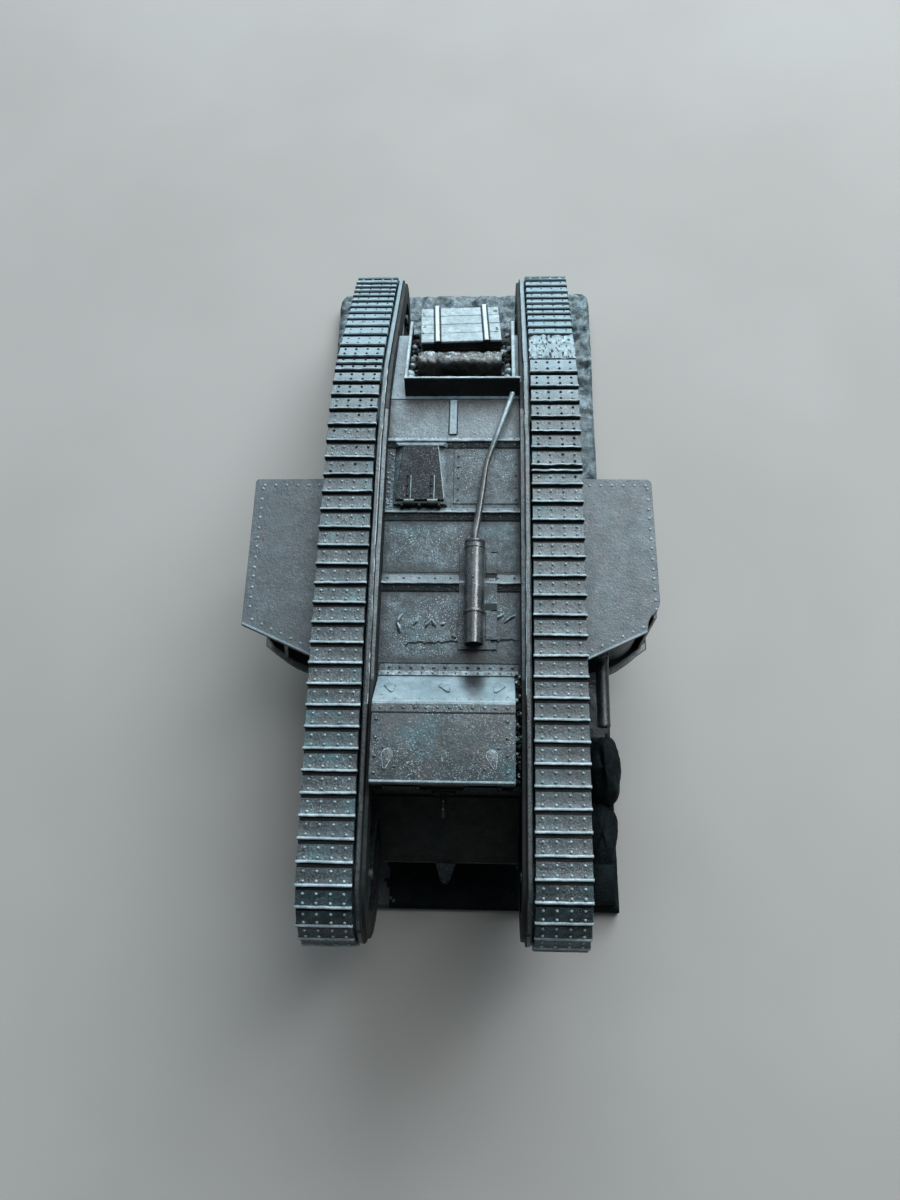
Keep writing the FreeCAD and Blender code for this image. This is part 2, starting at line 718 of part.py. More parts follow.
def bent_line(points, share=0.4):
    """Straight runs joined by tangent arcs."""
    edges = []
    start = points[0]
    for before, corner, after in zip(points, points[1:], points[2:]):
        back_run = before - corner
        fore_run = after - corner
        half_turn = (math.pi - back_run.getAngle(fore_run)) / 2
        reach = share * min(back_run.Length, fore_run.Length)
        radius = reach / math.tan(half_turn)
        entry = corner + V(back_run).normalize() * reach
        leave = corner + V(fore_run).normalize() * reach
        bisector = (V(back_run).normalize() + V(fore_run).normalize()).normalize()
        middle = corner + bisector * (radius / math.cos(half_turn) - radius)
        edges.append(Part.LineSegment(start, entry).toShape())
        edges.append(Part.Arc(entry, middle, leave).toShape())
        start = leave
    edges.append(Part.LineSegment(start, points[-1]).toShape())
    return Part.Wire(edges)


def exhaust_pipe(name):
    points = [place(*point) for point in EXHAUST_ROUTE]
    path = bent_line(points)
    section = Part.Wire([Part.Circle(points[0], points[1] - points[0], D["exhaust_radius"]).toShape()])
    feature = doc.addObject("Part::Feature", name)
    feature.Shape = path.makePipeShell([section], True, True)
    return keep(feature, name)


exhaust_pipe("exhaust_pipe")


# ---------------------------------------------------------------- stowage tray

TRAY_BACK = 158.7
TRAY_FRONT = (TRAY_BACK, DECK_FRONT[1] - (TRAY_BACK - DECK_FRONT[0]) * DECK_FALL)
TRAY_SLOPE = -math.degrees(math.atan(DECK_FALL))
TRAY_LENGTH = 33.0
TRAY_LEFT = -15.3
TRAY_RIGHT = 18.4
TRAY_FLOOR = 0.5
DECK_TILT = FreeCAD.Rotation(V(1, 0, 0), TRAY_SLOPE)


def on_deck(out, along, above):
    """A point of the tray, from its distances out, along the sloping deck and above it."""
    origin = place(out, *TRAY_FRONT)
    return origin + DECK_TILT.multVec(V(0, along, above))


def deck_box(name, sizes, out, along, above):
    return box(name, sizes, on_deck(out, along, above), DECK_TILT)


def stowage_tray(name):
    """The open tray: a floor, a front panel and two side walls, moulded in one."""
    wall = D["tray_wall_thickness"]
    floor = deck_box(name + "_floor", (TRAY_RIGHT - TRAY_LEFT, TRAY_LENGTH + 2.0, TRAY_FLOOR),
                     TRAY_LEFT, 0, 0)
    front = deck_box(name + "_front", (TRAY_RIGHT + 0.9 - TRAY_LEFT, "dims.tray_wall_thickness",
                                       "dims.tray_wall_height"), TRAY_LEFT, 0, 0)
    sides = []
    for index, low in enumerate((TRAY_LEFT, TRAY_RIGHT - 0.6 - wall)):
        sides.append(deck_box("%s_side_%d" % (name, index), ("dims.tray_wall_thickness", TRAY_LENGTH,
                                                             "dims.tray_wall_height"), low, 0, 0))
    return keep(fuse(name, [floor, front] + sides), name)


stowage_tray("stowage_tray")

CRATE_LEFT = -10.7
CRATE_ALONG = 16.3
CRATE_TURN = FreeCAD.Rotation(V(0, 0, 1), 3.1)
CRATE_TOP = D["crate_height"]
LID_OVERHANG = 0.2
STRAP_MIDDLES = (4.95, 20.2)


def crate_box(name, sizes, out, along, above):
    """A block laid square to the crate, which sits a little skewed in the tray."""
    corner = CRATE_TURN.multVec(V(out, along, above))
    foot = on_deck(CRATE_LEFT + corner.x, CRATE_ALONG + corner.y, TRAY_FLOOR + corner.z)
    return box(name, sizes, foot, DECK_TILT.multiply(CRATE_TURN))


keep(crate_box("crate", ("dims.crate_width", "dims.crate_length", "dims.crate_height"), 0, 0, 0), "crate")
keep(crate_box("crate_lid", ("dims.crate_width + 0.4", "dims.crate_length + 0.4", "dims.crate_lid_thickness"),
               -LID_OVERHANG, -LID_OVERHANG, CRATE_TOP), "crate_lid")


def crate_straps(name):
    """Two flat straps over the crate's lid, turned down at both ends."""
    thick = D["crate_strap_thickness"]
    lid_top = CRATE_TOP + D["crate_lid_thickness"]
    lid_rear = D["crate_length"] + LID_OVERHANG
    front_drop = 2.8
    rear_drop = 6.0
    pieces = []
    for index, middle in enumerate(STRAP_MIDDLES):
        low = middle - D["crate_strap_width"] / 2
        over = crate_box("%s_over_%d" % (name, index),
                         ("dims.crate_strap_width", lid_rear + LID_OVERHANG + 2 * thick,
                          "dims.crate_strap_thickness"),
                         low, -LID_OVERHANG - thick, lid_top)
        front = crate_box("%s_front_%d" % (name, index),
                          ("dims.crate_strap_width", "dims.crate_strap_thickness", front_drop + thick),
                          low, -LID_OVERHANG - thick, lid_top - front_drop)
        rear = crate_box("%s_rear_%d" % (name, index),
                         ("dims.crate_strap_width", "dims.crate_strap_thickness", rear_drop + thick),
                         low, lid_rear, lid_top - rear_drop)
        pieces.append(fuse("%s_strap_%d" % (name, index), [over, front, rear]))
    return keep(group(name, pieces), name)


crate_straps("crate_straps")


def tarp_roll(name):
    """The rolled tarpaulin moulded in front of the crate."""
    foot = on_deck(-11.5, 10.1, TRAY_FLOOR + D["tarp_radius"])
    return keep(rod(name, "dims.tarp_radius", "dims.tarp_length", foot, ALONG_X), name)


tarp_roll("tarp_roll")


# ---------------------------------------------------------------- sponsons

ROOF_INNER = D["outer_plate_face"] + D["outer_plate_width"]
FLOOR = D["sponson_floor_height"]
SPONSON_ROOF = FLOOR + D["sponson_plate"] + D["sponson_wall_height"]
DRUM = (47.2, 94.0)


def mirrored(points, side):
    return [(side * out, back) for out, back in points]


def arc_through(first, middle, last):
    return Part.Arc(V(first[0], first[1], 0), V(middle[0], middle[1], 0), V(last[0], last[1], 0))


def sponson_roof(name, side):
    """The roof plate; the gun side has lost a chip of its front outer corner."""
    outline = [(ROOF_INNER, 132.0), (59.0, 131.8), (59.6, 131.1), (59.8, 85.7), (ROOF_INNER, 75.2)]
    if side > 0:
        outline = [(ROOF_INNER, 132.0), (57.9, 131.8), (58.5, 131.2), (59.1, 94.2), (58.4, 90.8), (56.0, 88.6),
                   (55.2, 84.5), (ROOF_INNER, 75.4)]
    piece = flat_plate(name, polygon(mirrored(outline, side)), "dims.sponson_roof_thickness", SPONSON_ROOF)
    return keep(piece, name)


def sponson_floor(name, side):
    """The floor plate, with a bowed front edge; on the gun side it is bored for the mounting."""
    corners = mirrored([(38.0, 78.0), (49.6, 81.2), (60.0, 88.6), (60.0, 131.0), (ROOF_INNER, 131.0),
                        (ROOF_INNER, 77.8)], side)
    geometry = [arc_through(corners[0], corners[1], corners[2])]
    for start, end in zip(corners[2:], corners[3:] + [corners[0]]):
        geometry.append(Part.LineSegment(V(start[0], start[1], 0), V(end[0], end[1], 0)))
    if side > 0:
        geometry += circle(DRUM, D["drum_pin_radius"] + D["pivot_clearance"])
    return keep(flat_plate(name, geometry, "dims.sponson_plate", FLOOR), name)


def sponson_walls(name, side):
    """The outer wall, the rear wall and the short front return, one bent piece."""
    outer = D["sponson_outer_face"]
    inner = outer - 1.0
    outline = [(ROOF_INNER, 131.0), (outer, 131.0), (outer, 89.3), (inner, 88.6), (inner, 130.0),
               (ROOF_INNER, 130.0)]
    piece = flat_plate(name, polygon(mirrored(outline, side)), "dims.sponson_wall_height",
                       FLOOR + D["sponson_plate"])
    return keep(piece, name)


for side_name, sign in SIDES:
    sponson_roof("sponson_roof_" + side_name, sign)
    sponson_floor("sponson_floor_" + side_name, sign)
    sponson_walls("sponson_walls_" + side_name, sign)



def mullion(name):
    """The thin post that leans between the floor and the roof of the open sponson."""
    floor_top = FLOOR + D["sponson_plate"]
    foot = place(-52.9, 85.1, floor_top)
    head = place(-46.8, 81.4, SPONSON_ROOF)
    along = (head - foot).normalize()
    post = box(name + "_post", ("dims.mullion_width", "dims.mullion_width", D["sponson_wall_height"] + 6.0),
               foot - along * 2.0, FreeCAD.Rotation(V(0, 0, 1), along))
    between = box(name + "_between", (30, 30, "dims.sponson_wall_height"), place(-70, 70, floor_top))
    return keep(common(name, post, between), name)


mullion("sponson_mullion_left")

# ---------------------------------------------------------------- side gun

GUN_OUT = 44.0
GUN_UP = D["gun_height"]
TRUNNION_BACK = 92.0
DRUM_LOW = FLOOR + D["sponson_plate"] + 0.2
SLEEVE_FRONT = 79.6
MUZZLE = 60.6


def gun_drum(name):
    """The curved shield that turns in the sponson's mouth, on a disc with the pivot and two ears."""
    radius = D["drum_radius"]
    height = D["drum_height"]
    tube = rod(name + "_tube", radius, height, place(*DRUM, DRUM_LOW), UPRIGHT)
    hollow = rod(name + "_hollow", radius - D["drum_wall"], height + 2, place(*DRUM, DRUM_LOW - 1), UPRIGHT)
    rear = box(name + "_rear", (2 * radius + 2, radius + 2, height + 2),
               place(DRUM[0] - radius - 1, DRUM[1] + 1.5, DRUM_LOW - 1))
    slot = box(name + "_slot", (5.0, 12.0, 11.4), place(GUN_OUT - 2.5, DRUM[1] - radius - 3, GUN_UP - 5.4))
    sight = box(name + "_sight", (1.7, 12.0, 1.7), place(49.4, DRUM[1] - radius - 3, 45.5))
    shell = cut(name + "_shell", tube, fuse(name + "_tools", [hollow, rear, slot, sight]))
    disc = rod(name + "_disc", radius - D["drum_wall"] + 0.05, 1.0, place(*DRUM, DRUM_LOW), UPRIGHT)
    pin = rod(name + "_pin", "dims.drum_pin_radius", 1.4, place(*DRUM, DRUM_LOW - 1.4), UPRIGHT)
    ears = []
    for index, low in enumerate((GUN_OUT - 3.3, GUN_OUT + 2.5)):
        ears.append(box("%s_ear_%d" % (name, index), (0.8, 3.2, GUN_UP + 1.6 - DRUM_LOW),
                        place(low, TRUNNION_BACK - 1.6, DRUM_LOW)))
    bores = rod(name + "_bores", D["trunnion_radius"] + 0.05, 10.0,
                place(GUN_OUT - 5, TRUNNION_BACK, GUN_UP), ALONG_X)
    return keep(cut(name, fuse(name + "_solid", [shell, disc, pin] + ears), bores), name)


def side_gun(name):
    """The short gun: breech, sleeve, trunnions and barrel."""
    sleeve = rod(name + "_sleeve", "dims.gun_sleeve_radius", 96.5 - SLEEVE_FRONT,
                 place(GUN_OUT, SLEEVE_FRONT, GUN_UP), ALONG_Y)
    breech = box(name + "_breech", (3.8, 4.0, 4.2), place(GUN_OUT - 1.9, 95.5, GUN_UP - 2.1))
    trunnions = rod(name + "_trunnions", "dims.trunnion_radius", "dims.trunnion_length",
                    place(GUN_OUT - D["trunnion_length"] / 2, TRUNNION_BACK, GUN_UP), ALONG_X)
    return keep(fuse(name, [sleeve, breech, trunnions]), name)


def gun_barrel(name):
    length = SLEEVE_FRONT - MUZZLE
    tube = rod(name + "_tube", "dims.gun_barrel_radius", length, place(GUN_OUT, MUZZLE, GUN_UP), ALONG_Y)
    bore = rod(name + "_bore", "dims.gun_bore_radius", 9.0, place(GUN_OUT, MUZZLE - 1, GUN_UP), ALONG_Y)
    return keep(cut(name, tube, bore), name)


gun_drum("gun_drum")
side_gun("side_gun")
gun_barrel("gun_barrel")

# ---------------------------------------------------------------- base

MOUNDS = [
    (47.0, 54.0, 7.5, 12.5, 12.0),
    (47.5, 33.5, 5.5, 10.5, 7.0),
    (0.0, 228.0, 20.0, 9.0, 5.0),
]


def display_base(name):
    """The base slab with its rounded corners and its moulded lumps of ground."""
    left = -D["base_left"]
    right = D["base_right_front"]
    right_rear = D["base_right_rear"]
    front = D["base_front"]
    rear = front + D["base_length"]
    round_off = 5.0
    outline = [(left, front), (right, front), (right_rear, rear - round_off), (right_rear - round_off, rear),
               (left + round_off, rear), (left, rear - round_off)]
    geometry = polygon(outline)
    slab = flat_plate(name + "_slab", geometry, "dims.base_thickness", -D["base_thickness"])
    lumps = []
    for index, (out, back, half_width, half_length, height) in enumerate(MOUNDS):
        foot = doc.addObject("Part::Ellipsoid", "%s_lump_%d" % (name, index))
        foot.Radius1 = height
        foot.Radius2 = half_width
        foot.Radius3 = half_length
        foot.Placement = FreeCAD.Placement(place(out, back, -1.0), UPRIGHT)
        lumps.append(foot)
    inside = box(name + "_limits", (right + 3.0 - left, "dims.base_length", 40.0),
                 place(left, front, -D["base_thickness"]))
    fused = fuse(name + "_fused", [slab] + lumps)
    return keep(common(name, fused, inside), name)


display_base("display_base")


# ---------------------------------------------------------------- check and export

doc.recompute()
for thing in doc.Objects:
    if "Invalid" in thing.State or "Error" in thing.State:
        raise RuntimeError("%s (%s) failed: %s" % (thing.Name, thing.Label, thing.State))
for piece in sub_parts:
    if piece.Shape.isNull() or not piece.Shape.isValid():
        raise RuntimeError("%s has no valid shape" % piece.Label)

os.makedirs("parts", exist_ok=True)
for piece in sub_parts:
    piece.Shape.exportStep("parts/%s.step" % piece.Label)
    bounds = piece.Shape.BoundBox
    print("%-24s solids %2d  volume %9.2f  x %7.2f %7.2f  y %7.2f %7.2f  z %6.2f %6.2f" % (
        piece.Label, len(piece.Shape.Solids), piece.Shape.Volume, bounds.XMin, bounds.XMax,
        bounds.YMin, bounds.YMax, bounds.ZMin, bounds.ZMax))
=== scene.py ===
from math import (acos, atan, atan2, ceil, copysign, cos, degrees, dist, exp, hypot, pi, radians,
                  sin, sqrt, tau)
import random

import bmesh
import bpy
from mathutils import Matrix, Vector, noise


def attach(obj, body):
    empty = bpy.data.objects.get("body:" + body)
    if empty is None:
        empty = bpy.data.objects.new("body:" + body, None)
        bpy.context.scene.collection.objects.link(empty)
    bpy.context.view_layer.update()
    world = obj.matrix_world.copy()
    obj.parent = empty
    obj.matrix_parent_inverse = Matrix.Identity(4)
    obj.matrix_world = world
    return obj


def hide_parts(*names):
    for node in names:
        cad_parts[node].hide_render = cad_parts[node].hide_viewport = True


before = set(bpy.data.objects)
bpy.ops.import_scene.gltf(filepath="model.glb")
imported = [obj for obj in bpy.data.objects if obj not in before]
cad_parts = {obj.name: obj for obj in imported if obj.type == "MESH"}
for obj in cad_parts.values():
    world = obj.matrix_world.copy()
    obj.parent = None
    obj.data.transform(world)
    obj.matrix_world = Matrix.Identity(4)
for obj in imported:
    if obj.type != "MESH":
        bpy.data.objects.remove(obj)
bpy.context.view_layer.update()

rng = random.Random(7)

# Lengths are in millimetres as (out, back, up): out from the centre plane, back from the front of
# the track horns, up from the tracks' ground line. V makes a vector of them, and P turns them into
# the row frame, in metres.
HALF_LENGTH = 119.0
GROUND = 4.0


def V(out, back, up):
    return Vector((out, back, up))


def P(out, back, up):
    return V(out, back - HALF_LENGTH, up + GROUND) / 1000.0


def ripple(a, b, c):
    return noise.noise(Vector((a, b, c)))


RIGHT, BACK, UP = V(1, 0, 0), V(0, 1, 0), V(0, 0, 1)
AHEAD, DOWN = V(0, -1, 0), V(0, 0, -1)


# ---- camera and light

CAMERA_AT = (10.9, 6.3, 305.1)
PITCH, YAW, ROLL = (radians(a) for a in (70.66, 7.35, -6.53))
FOCAL = 27.957


def set_camera():
    forward = V(0, cos(PITCH), -sin(PITCH))
    upward = V(0, sin(PITCH), cos(PITCH))
    right = RIGHT
    turn = Matrix.Rotation(YAW, 3, "Z")
    forward, upward, right = turn @ forward, turn @ upward, turn @ right
    side = cos(ROLL) * right + sin(ROLL) * upward
    top = cos(ROLL) * upward - sin(ROLL) * right
    matrix = Matrix((side, top, -forward)).transposed().to_4x4()
    matrix.translation = P(*CAMERA_AT)
    data = bpy.data.cameras.new("camera")
    data.sensor_fit = "VERTICAL"
    data.sensor_height = 36.0
    data.lens = FOCAL
    data.clip_start = 0.01
    camera = bpy.data.objects.new("camera", data)
    bpy.context.scene.collection.objects.link(camera)
    camera.matrix_world = matrix
    bpy.context.scene.camera = camera


set_camera()


def area_light(name, at, target, size_x, size_y, power, colour):
    data = bpy.data.lights.new(name, "AREA")
    data.shape = "RECTANGLE"
    data.size, data.size_y = size_x, size_y
    data.energy = power
    data.color = colour
    light = bpy.data.objects.new(name, data)
    bpy.context.scene.collection.objects.link(light)
    light.location = at
    light.rotation_euler = (Vector(target) - Vector(at)).to_track_quat("-Z", "Y").to_euler()


# A wide window behind the tank's tail and a little to its right, in a room that is dim in front.
area_light("window", (0.30, 1.30, 0.80), (0, 0.0, 0.04), 1.5, 0.9, 39.0, (0.82, 0.97, 1.05))
area_light("ceiling", (0.1, 0.55, 1.5), (0, 0, 0), 1.3, 0.9, 5.0, (0.90, 0.98, 1.03))
area_light("side_strip", (0.52, 0.42, 1.03), (0, 0, 0.05), 0.24, 1.3, 8.0, (0.92, 0.99, 1.03))


def room_light():
    """A world, bright towards the window and dim in front. Seen directly it is a pale backdrop."""
    world = bpy.data.worlds.new("room")
    bpy.context.scene.world = world
    world.use_nodes = True
    tree = world.node_tree
    background = tree.nodes["Background"]
    direction = tree.nodes.new("ShaderNodeTexCoord").outputs["Generated"]
    split = tree.nodes.new("ShaderNodeSeparateXYZ")
    tree.links.new(direction, split.inputs[0])
    share = tree.nodes.new("ShaderNodeMapRange")
    share.interpolation_type = "SMOOTHSTEP"
    tree.links.new(split.outputs["Y"], share.inputs["Value"])
    share.inputs["From Min"].default_value = -0.75
    share.inputs["From Max"].default_value = 0.95
    light = tree.nodes.new("ShaderNodeMix")
    light.data_type = "RGBA"
    tree.links.new(share.outputs["Result"], light.inputs["Factor"])
    light.inputs[6].default_value = (0.050, 0.052, 0.054, 1)
    light.inputs[7].default_value = (0.46, 0.57, 0.63, 1)
    seen = tree.nodes.new("ShaderNodeMix")
    seen.data_type = "RGBA"
    tree.links.new(tree.nodes.new("ShaderNodeLightPath").outputs["Is Camera Ray"],
                   seen.inputs["Factor"])
    tree.links.new(light.outputs[2], seen.inputs[6])
    seen.inputs[7].default_value = (0.45, 0.45, 0.44, 1)
    tree.links.new(seen.outputs[2], background.inputs["Color"])


room_light()
bpy.context.scene.view_settings.view_transform = "Standard"


# ---- materials


class Shade:
    """A node tree with short calls for the nodes that the materials share."""

    def __init__(self, name):
        self.material = bpy.data.materials.new(name)
        self.material.use_nodes = True
        self.tree = self.material.node_tree
        self.surface = self.tree.nodes["Principled BSDF"]
        self.place = self.add("ShaderNodeNewGeometry").outputs["Position"]

    def add(self, kind, **values):
        node = self.tree.nodes.new(kind)
        for key, value in values.items():
            setattr(node, key, value)
        return node

    def link(self, source, socket):
        self.tree.links.new(source, socket)

    def set(self, socket, value):
        if hasattr(value, "is_output"):
            self.link(value, socket)
        else:
            socket.default_value = value

    def noise(self, scale, detail=4.0, rough=0.55, distortion=0.0):
        node = self.add("ShaderNodeTexNoise")
        self.link(self.place, node.inputs["Vector"])
        for name, value in (("Scale", scale), ("Detail", detail), ("Roughness", rough),
                            ("Distortion", distortion)):
            node.inputs[name].default_value = value
        return node.outputs["Fac"]

    def ramp(self, source, low, high, to_low=0.0, to_high=1.0):
        node = self.add("ShaderNodeMapRange")
        node.interpolation_type = "SMOOTHSTEP"
        self.set(node.inputs["Value"], source)
        for name, value in (("From Min", low), ("From Max", high), ("To Min", to_low),
                            ("To Max", to_high)):
            node.inputs[name].default_value = value
        return node.outputs["Result"]

    def mix(self, factor, a, b):
        node = self.add("ShaderNodeMix", data_type="RGBA")
        self.set(node.inputs["Factor"], factor)
        for socket, value in zip((node.inputs[6], node.inputs[7]), (a, b)):
            self.set(socket, value if hasattr(value, "is_output") else (*value, 1.0))
        return node.outputs[2]

    def math(self, operation, a, b=0.0):
        node = self.add("ShaderNodeMath", operation=operation)
        self.set(node.inputs[0], a)
        self.set(node.inputs[1], b)
        return node.outputs[0]

    def axis(self, index):
        node = self.add("ShaderNodeSeparateXYZ")
        self.link(self.place, node.inputs[0])
        return node.outputs[index]

    def bump(self, *layers):
        normal = None
        for height, strength, distance in layers:
            node = self.add("ShaderNodeBump")
            self.set(node.inputs["Height"], height)
            node.inputs["Strength"].default_value = strength
            node.inputs["Distance"].default_value = distance
            if normal is not None:
                self.link(normal, node.inputs["Normal"])
            normal = node.outputs["Normal"]
        self.link(normal, self.surface.inputs["Normal"])


def paint(name, dark, light, teal=0.25, brown=0.25, rough=0.42, grain=0.35, specks=0.5, painted_shade=(),
          gloss=0.62, mottle=0.45, dust_and_light=None, joint_shade=()):
    """Dark satin paint on plastic: cloudy tint, fine mottling, orange peel and small bright specks.

    Round dark smears are listed as (out, back, radius, depth) and are painted shadow and shade.
    The tail range (from back, to back, depth) pales the paint, partly as dust and partly as painted
    window light.
    The listed distances back are joints along which painted shade darkens the paint. It also lies
    beside the rails.
    """
    s = Shade(name)
    colour = s.mix(s.ramp(s.noise(170, 5, 0.65), 0.35, 0.68), dark, light)
    colour = s.mix(s.ramp(s.noise(95, 3, 0.5), 0.50, 0.72, 0.0, teal), colour,
                   (0.036, 0.130, 0.145))
    colour = s.mix(s.ramp(s.noise(120, 3, 0.5, 0.4), 0.52, 0.74, 0.0, brown), colour,
                   (0.105, 0.078, 0.068))
    colour = s.mix(s.ramp(s.noise(560, 5, 0.75), 0.60, 0.40, 0.0, mottle), colour,
                   (0.004, 0.006, 0.007))
    # Paler towards the tail: partly dust, partly painted window light.
    if dust_and_light:
        dust_and_light_share = s.ramp(s.axis(1), P(0, dust_and_light[0], 0).y, P(0, dust_and_light[1], 0).y, 0.0, dust_and_light[2])
        colour = s.mix(dust_and_light_share, colour, (0.225, 0.320, 0.360))
    spread = s.ramp(s.noise(70, 3, 0.6), 0.38, 0.66, 0.25, 1.0)
    bright = s.ramp(s.noise(2900, 3, 0.6), 0.57, 0.66, 0.0, specks)
    colour = s.mix(s.math("MULTIPLY", bright, spread), colour, (0.50, 0.58, 0.61))
    colour = s.mix(s.ramp(s.noise(1250, 2, 0.5, 0.7), 0.60, 0.68, 0.0, 0.7 * mottle), colour,
                   (0.006, 0.007, 0.008))
    # Painted shade along the joints and beside the rails.
    if joint_shade:
        nearest = s.math("SUBTRACT", 0.0195, s.math("ABSOLUTE", s.axis(0)))
        for back in joint_shade:
            away = s.math("SUBTRACT", s.axis(1), P(0, back, 0).y)
            nearest = s.math("MINIMUM", nearest, s.math("ABSOLUTE", away))
        ragged = s.math("MULTIPLY", s.math("SUBTRACT", s.noise(220, 4, 0.6), 0.5), 0.006)
        nearest = s.math("ADD", nearest, ragged)
        colour = s.mix(s.ramp(nearest, 0.0, 0.0027, 0.85, 0.0), colour, (0.008, 0.012, 0.014))
    # Round patches of painted shadow and shade.
    for out, back, radius, depth in painted_shade:
        centre = P(out, back, 0)
        dx = s.math("SUBTRACT", s.axis(0), centre.x)
        dy = s.math("MULTIPLY", s.math("SUBTRACT", s.axis(1), centre.y), 0.55)
        away = s.math("SQRT", s.math("ADD", s.math("MULTIPLY", dx, dx), s.math("MULTIPLY", dy, dy)))
        colour = s.mix(s.ramp(away, 0.25 * radius / 1000, radius / 1000, depth, 0.0), colour,
                       (0.010, 0.010, 0.011))
    s.set(s.surface.inputs["Base Color"], colour)
    roughness = s.ramp(s.noise(260, 3), 0.3, 0.7, rough - 0.09, rough + 0.10)
    s.set(s.surface.inputs["Roughness"], roughness)
    s.surface.inputs["Specular IOR Level"].default_value = gloss
    fine = (s.noise(1300, 4, 0.65), min(1.0, 1.3 * grain), 0.00034)
    s.bump(fine, (s.noise(330, 3, 0.5), 0.35, 0.00025))
    return s.material


# Distances back of the roof joints, along which painted shade darkens the roof.
ROOF_JOINT_SHADE = (74.4, 94.6, 100.2, 115.8, 139.0)
# Round patches of painted shadow and shade, as (out, back, radius, depth).
PORT_SHADOW = [(6.6, 71.5, 5.6, 0.95), (6.6, 76.5, 5.0, 0.9), (7.0, 66.0, 4.2, 0.7)]
PANEL_SHADOW = [(out, 157.8, 5.6, 0.93) for out in range(-12, 13, 4)]
PANEL_SHADOW.append((17.0, 155.5, 6.5, 0.95))
FRONT_SHADOW = [(out, back, 22.0, 0.95) for out in (-10, 10) for back in (14, 40)]
SIDE_SHADOW = [(50.0, back, 24.0, 0.96) for back in (40, 66)]

# The hull paint carries painted shadows below the silencer and painted shade along the roof joints.
HULL = paint("hull_paint", (0.026, 0.038, 0.045), (0.082, 0.110, 0.124), 0.42, 0.18, 0.42, 0.42,
             0.95, PORT_SHADOW, gloss=0.45, mottle=0.62, joint_shade=ROOF_JOINT_SHADE)
# A round patch of painted shade lies over the right track's front half; the tail is paler, partly
# dust and partly painted window light.
TRACK = paint("track_paint", (0.012, 0.021, 0.025), (0.038, 0.058, 0.066), 0.55, 0.25, 0.36, 0.55,
              0.45, [(30, 66, 34, 0.35)], dust_and_light=(140, 188, 0.78), mottle=0.55)
OUTER = paint("outer_plate_paint", (0.038, 0.047, 0.052), (0.085, 0.100, 0.108), 0.12, 0.40, 0.38,
              0.6, 0.35, mottle=0.5)
# Pale paint, mostly painted highlights on lips, edges, rims and rivet tops; also pale flecks on the
# melted plates.
HIGHLIGHT_AND_WEAR = paint("highlight_and_wear_paint", (0.170, 0.225, 0.245), (0.330, 0.400, 0.425), 0.15, 0.05, 0.30, 0.4,
             0.3, mottle=0.3)
# The rails carry painted shade towards the front; their tail is paler, partly dust and partly
# painted window light.
RAIL = paint("rail_paint", (0.036, 0.046, 0.051), (0.088, 0.104, 0.112), 0.12, 0.40, 0.36, 0.6,
             0.40, [(-20, 36, 30, 0.65), (20, 36, 30, 0.65)], dust_and_light=(150, 190, 0.6), mottle=0.5)
SPONSON = paint("sponson_paint", (0.050, 0.060, 0.068), (0.078, 0.092, 0.103), 0.12, 0.22, 0.44,
                0.42, 0.30, mottle=0.24)
CAB = paint("cab_paint", (0.024, 0.033, 0.037), (0.052, 0.066, 0.072), 0.60, 0.45, 0.40, 0.28, 0.80,
            mottle=0.30)
# A lit copy of the dark paint: painted window light on the cab's rear slope, which faces the
# window; also the sponsons' pale rivets and lips as painted highlights.
LIT_SLOPE = paint("lit_slope_paint", (0.125, 0.172, 0.193), (0.200, 0.258, 0.283), 0.15, 0.05, 0.34, 0.3,
              0.25, PORT_SHADOW, mottle=0.15)
# Near-black paint standing in for shade: on faces turned from the window, under parts, in grooves,
# holes and gaps, and as painted shadows.
PAINTED_SHADE = paint("shaded_paint", (0.006, 0.007, 0.007), (0.014, 0.015, 0.014), 0.05, 0.08, 0.6, 0.3,
             0.04, gloss=0.25)
# Pale paint standing in for window light on the sloping rear deck; also used on the lift bar, the
# hatch coaming's rear and the crumbs beside the hatch.
DECK = paint("deck_paint", (0.135, 0.185, 0.208), (0.215, 0.270, 0.298), 0.20, 0.05, 0.36, 0.4,
             0.35, mottle=0.30)
# The tray panel's painted shadow lies on the rear roof, with painted shade along its joint.
REAR_ROOF = paint("rear_roof_paint", (0.044, 0.063, 0.074), (0.088, 0.118, 0.134), 0.20, 0.05, 0.38,
                  0.5, 0.40, PANEL_SHADOW, mottle=0.40, joint_shade=(141.0,))
CRATE = paint("crate_paint", (0.190, 0.255, 0.275), (0.310, 0.375, 0.395), 0.06, 0.02, 0.33, 0.3,
              0.15, mottle=0.35)
LID = paint("hatch_paint", (0.005, 0.006, 0.007), (0.018, 0.020, 0.021), 0.10, 0.30, 0.52, 0.6,
            0.38, gloss=0.20, mottle=0.4)
TUBE = paint("tube_paint", (0.030, 0.032, 0.033), (0.062, 0.063, 0.062), 0.05, 0.50, 0.27, 0.3,
             0.25)
LEDGE = paint("ledge_paint", (0.130, 0.140, 0.138), (0.230, 0.238, 0.230), 0.10, 0.20, 0.40, 0.3,
              0.2)
WHITE = paint("bright_strap_paint", (0.42, 0.50, 0.52), (0.55, 0.63, 0.65), 0.04, 0.02, 0.33, 0.3,
              0.1, mottle=0.2)
LID_GAP = paint("crate_gap_paint", (0.016, 0.021, 0.023), (0.040, 0.050, 0.054), 0.1, 0.1, 0.5, 0.3,
                0.1)
TARP = paint("tarpaulin_paint", (0.008, 0.008, 0.008), (0.034, 0.031, 0.027), 0.05, 0.45, 0.34, 0.5,
             0.1)
MUD = paint("mud_paint", (0.050, 0.080, 0.092), (0.190, 0.255, 0.280), 0.35, 0.02, 0.36, 0.9, 0.2,
            FRONT_SHADOW + SIDE_SHADOW, gloss=0.4, mottle=0.75)
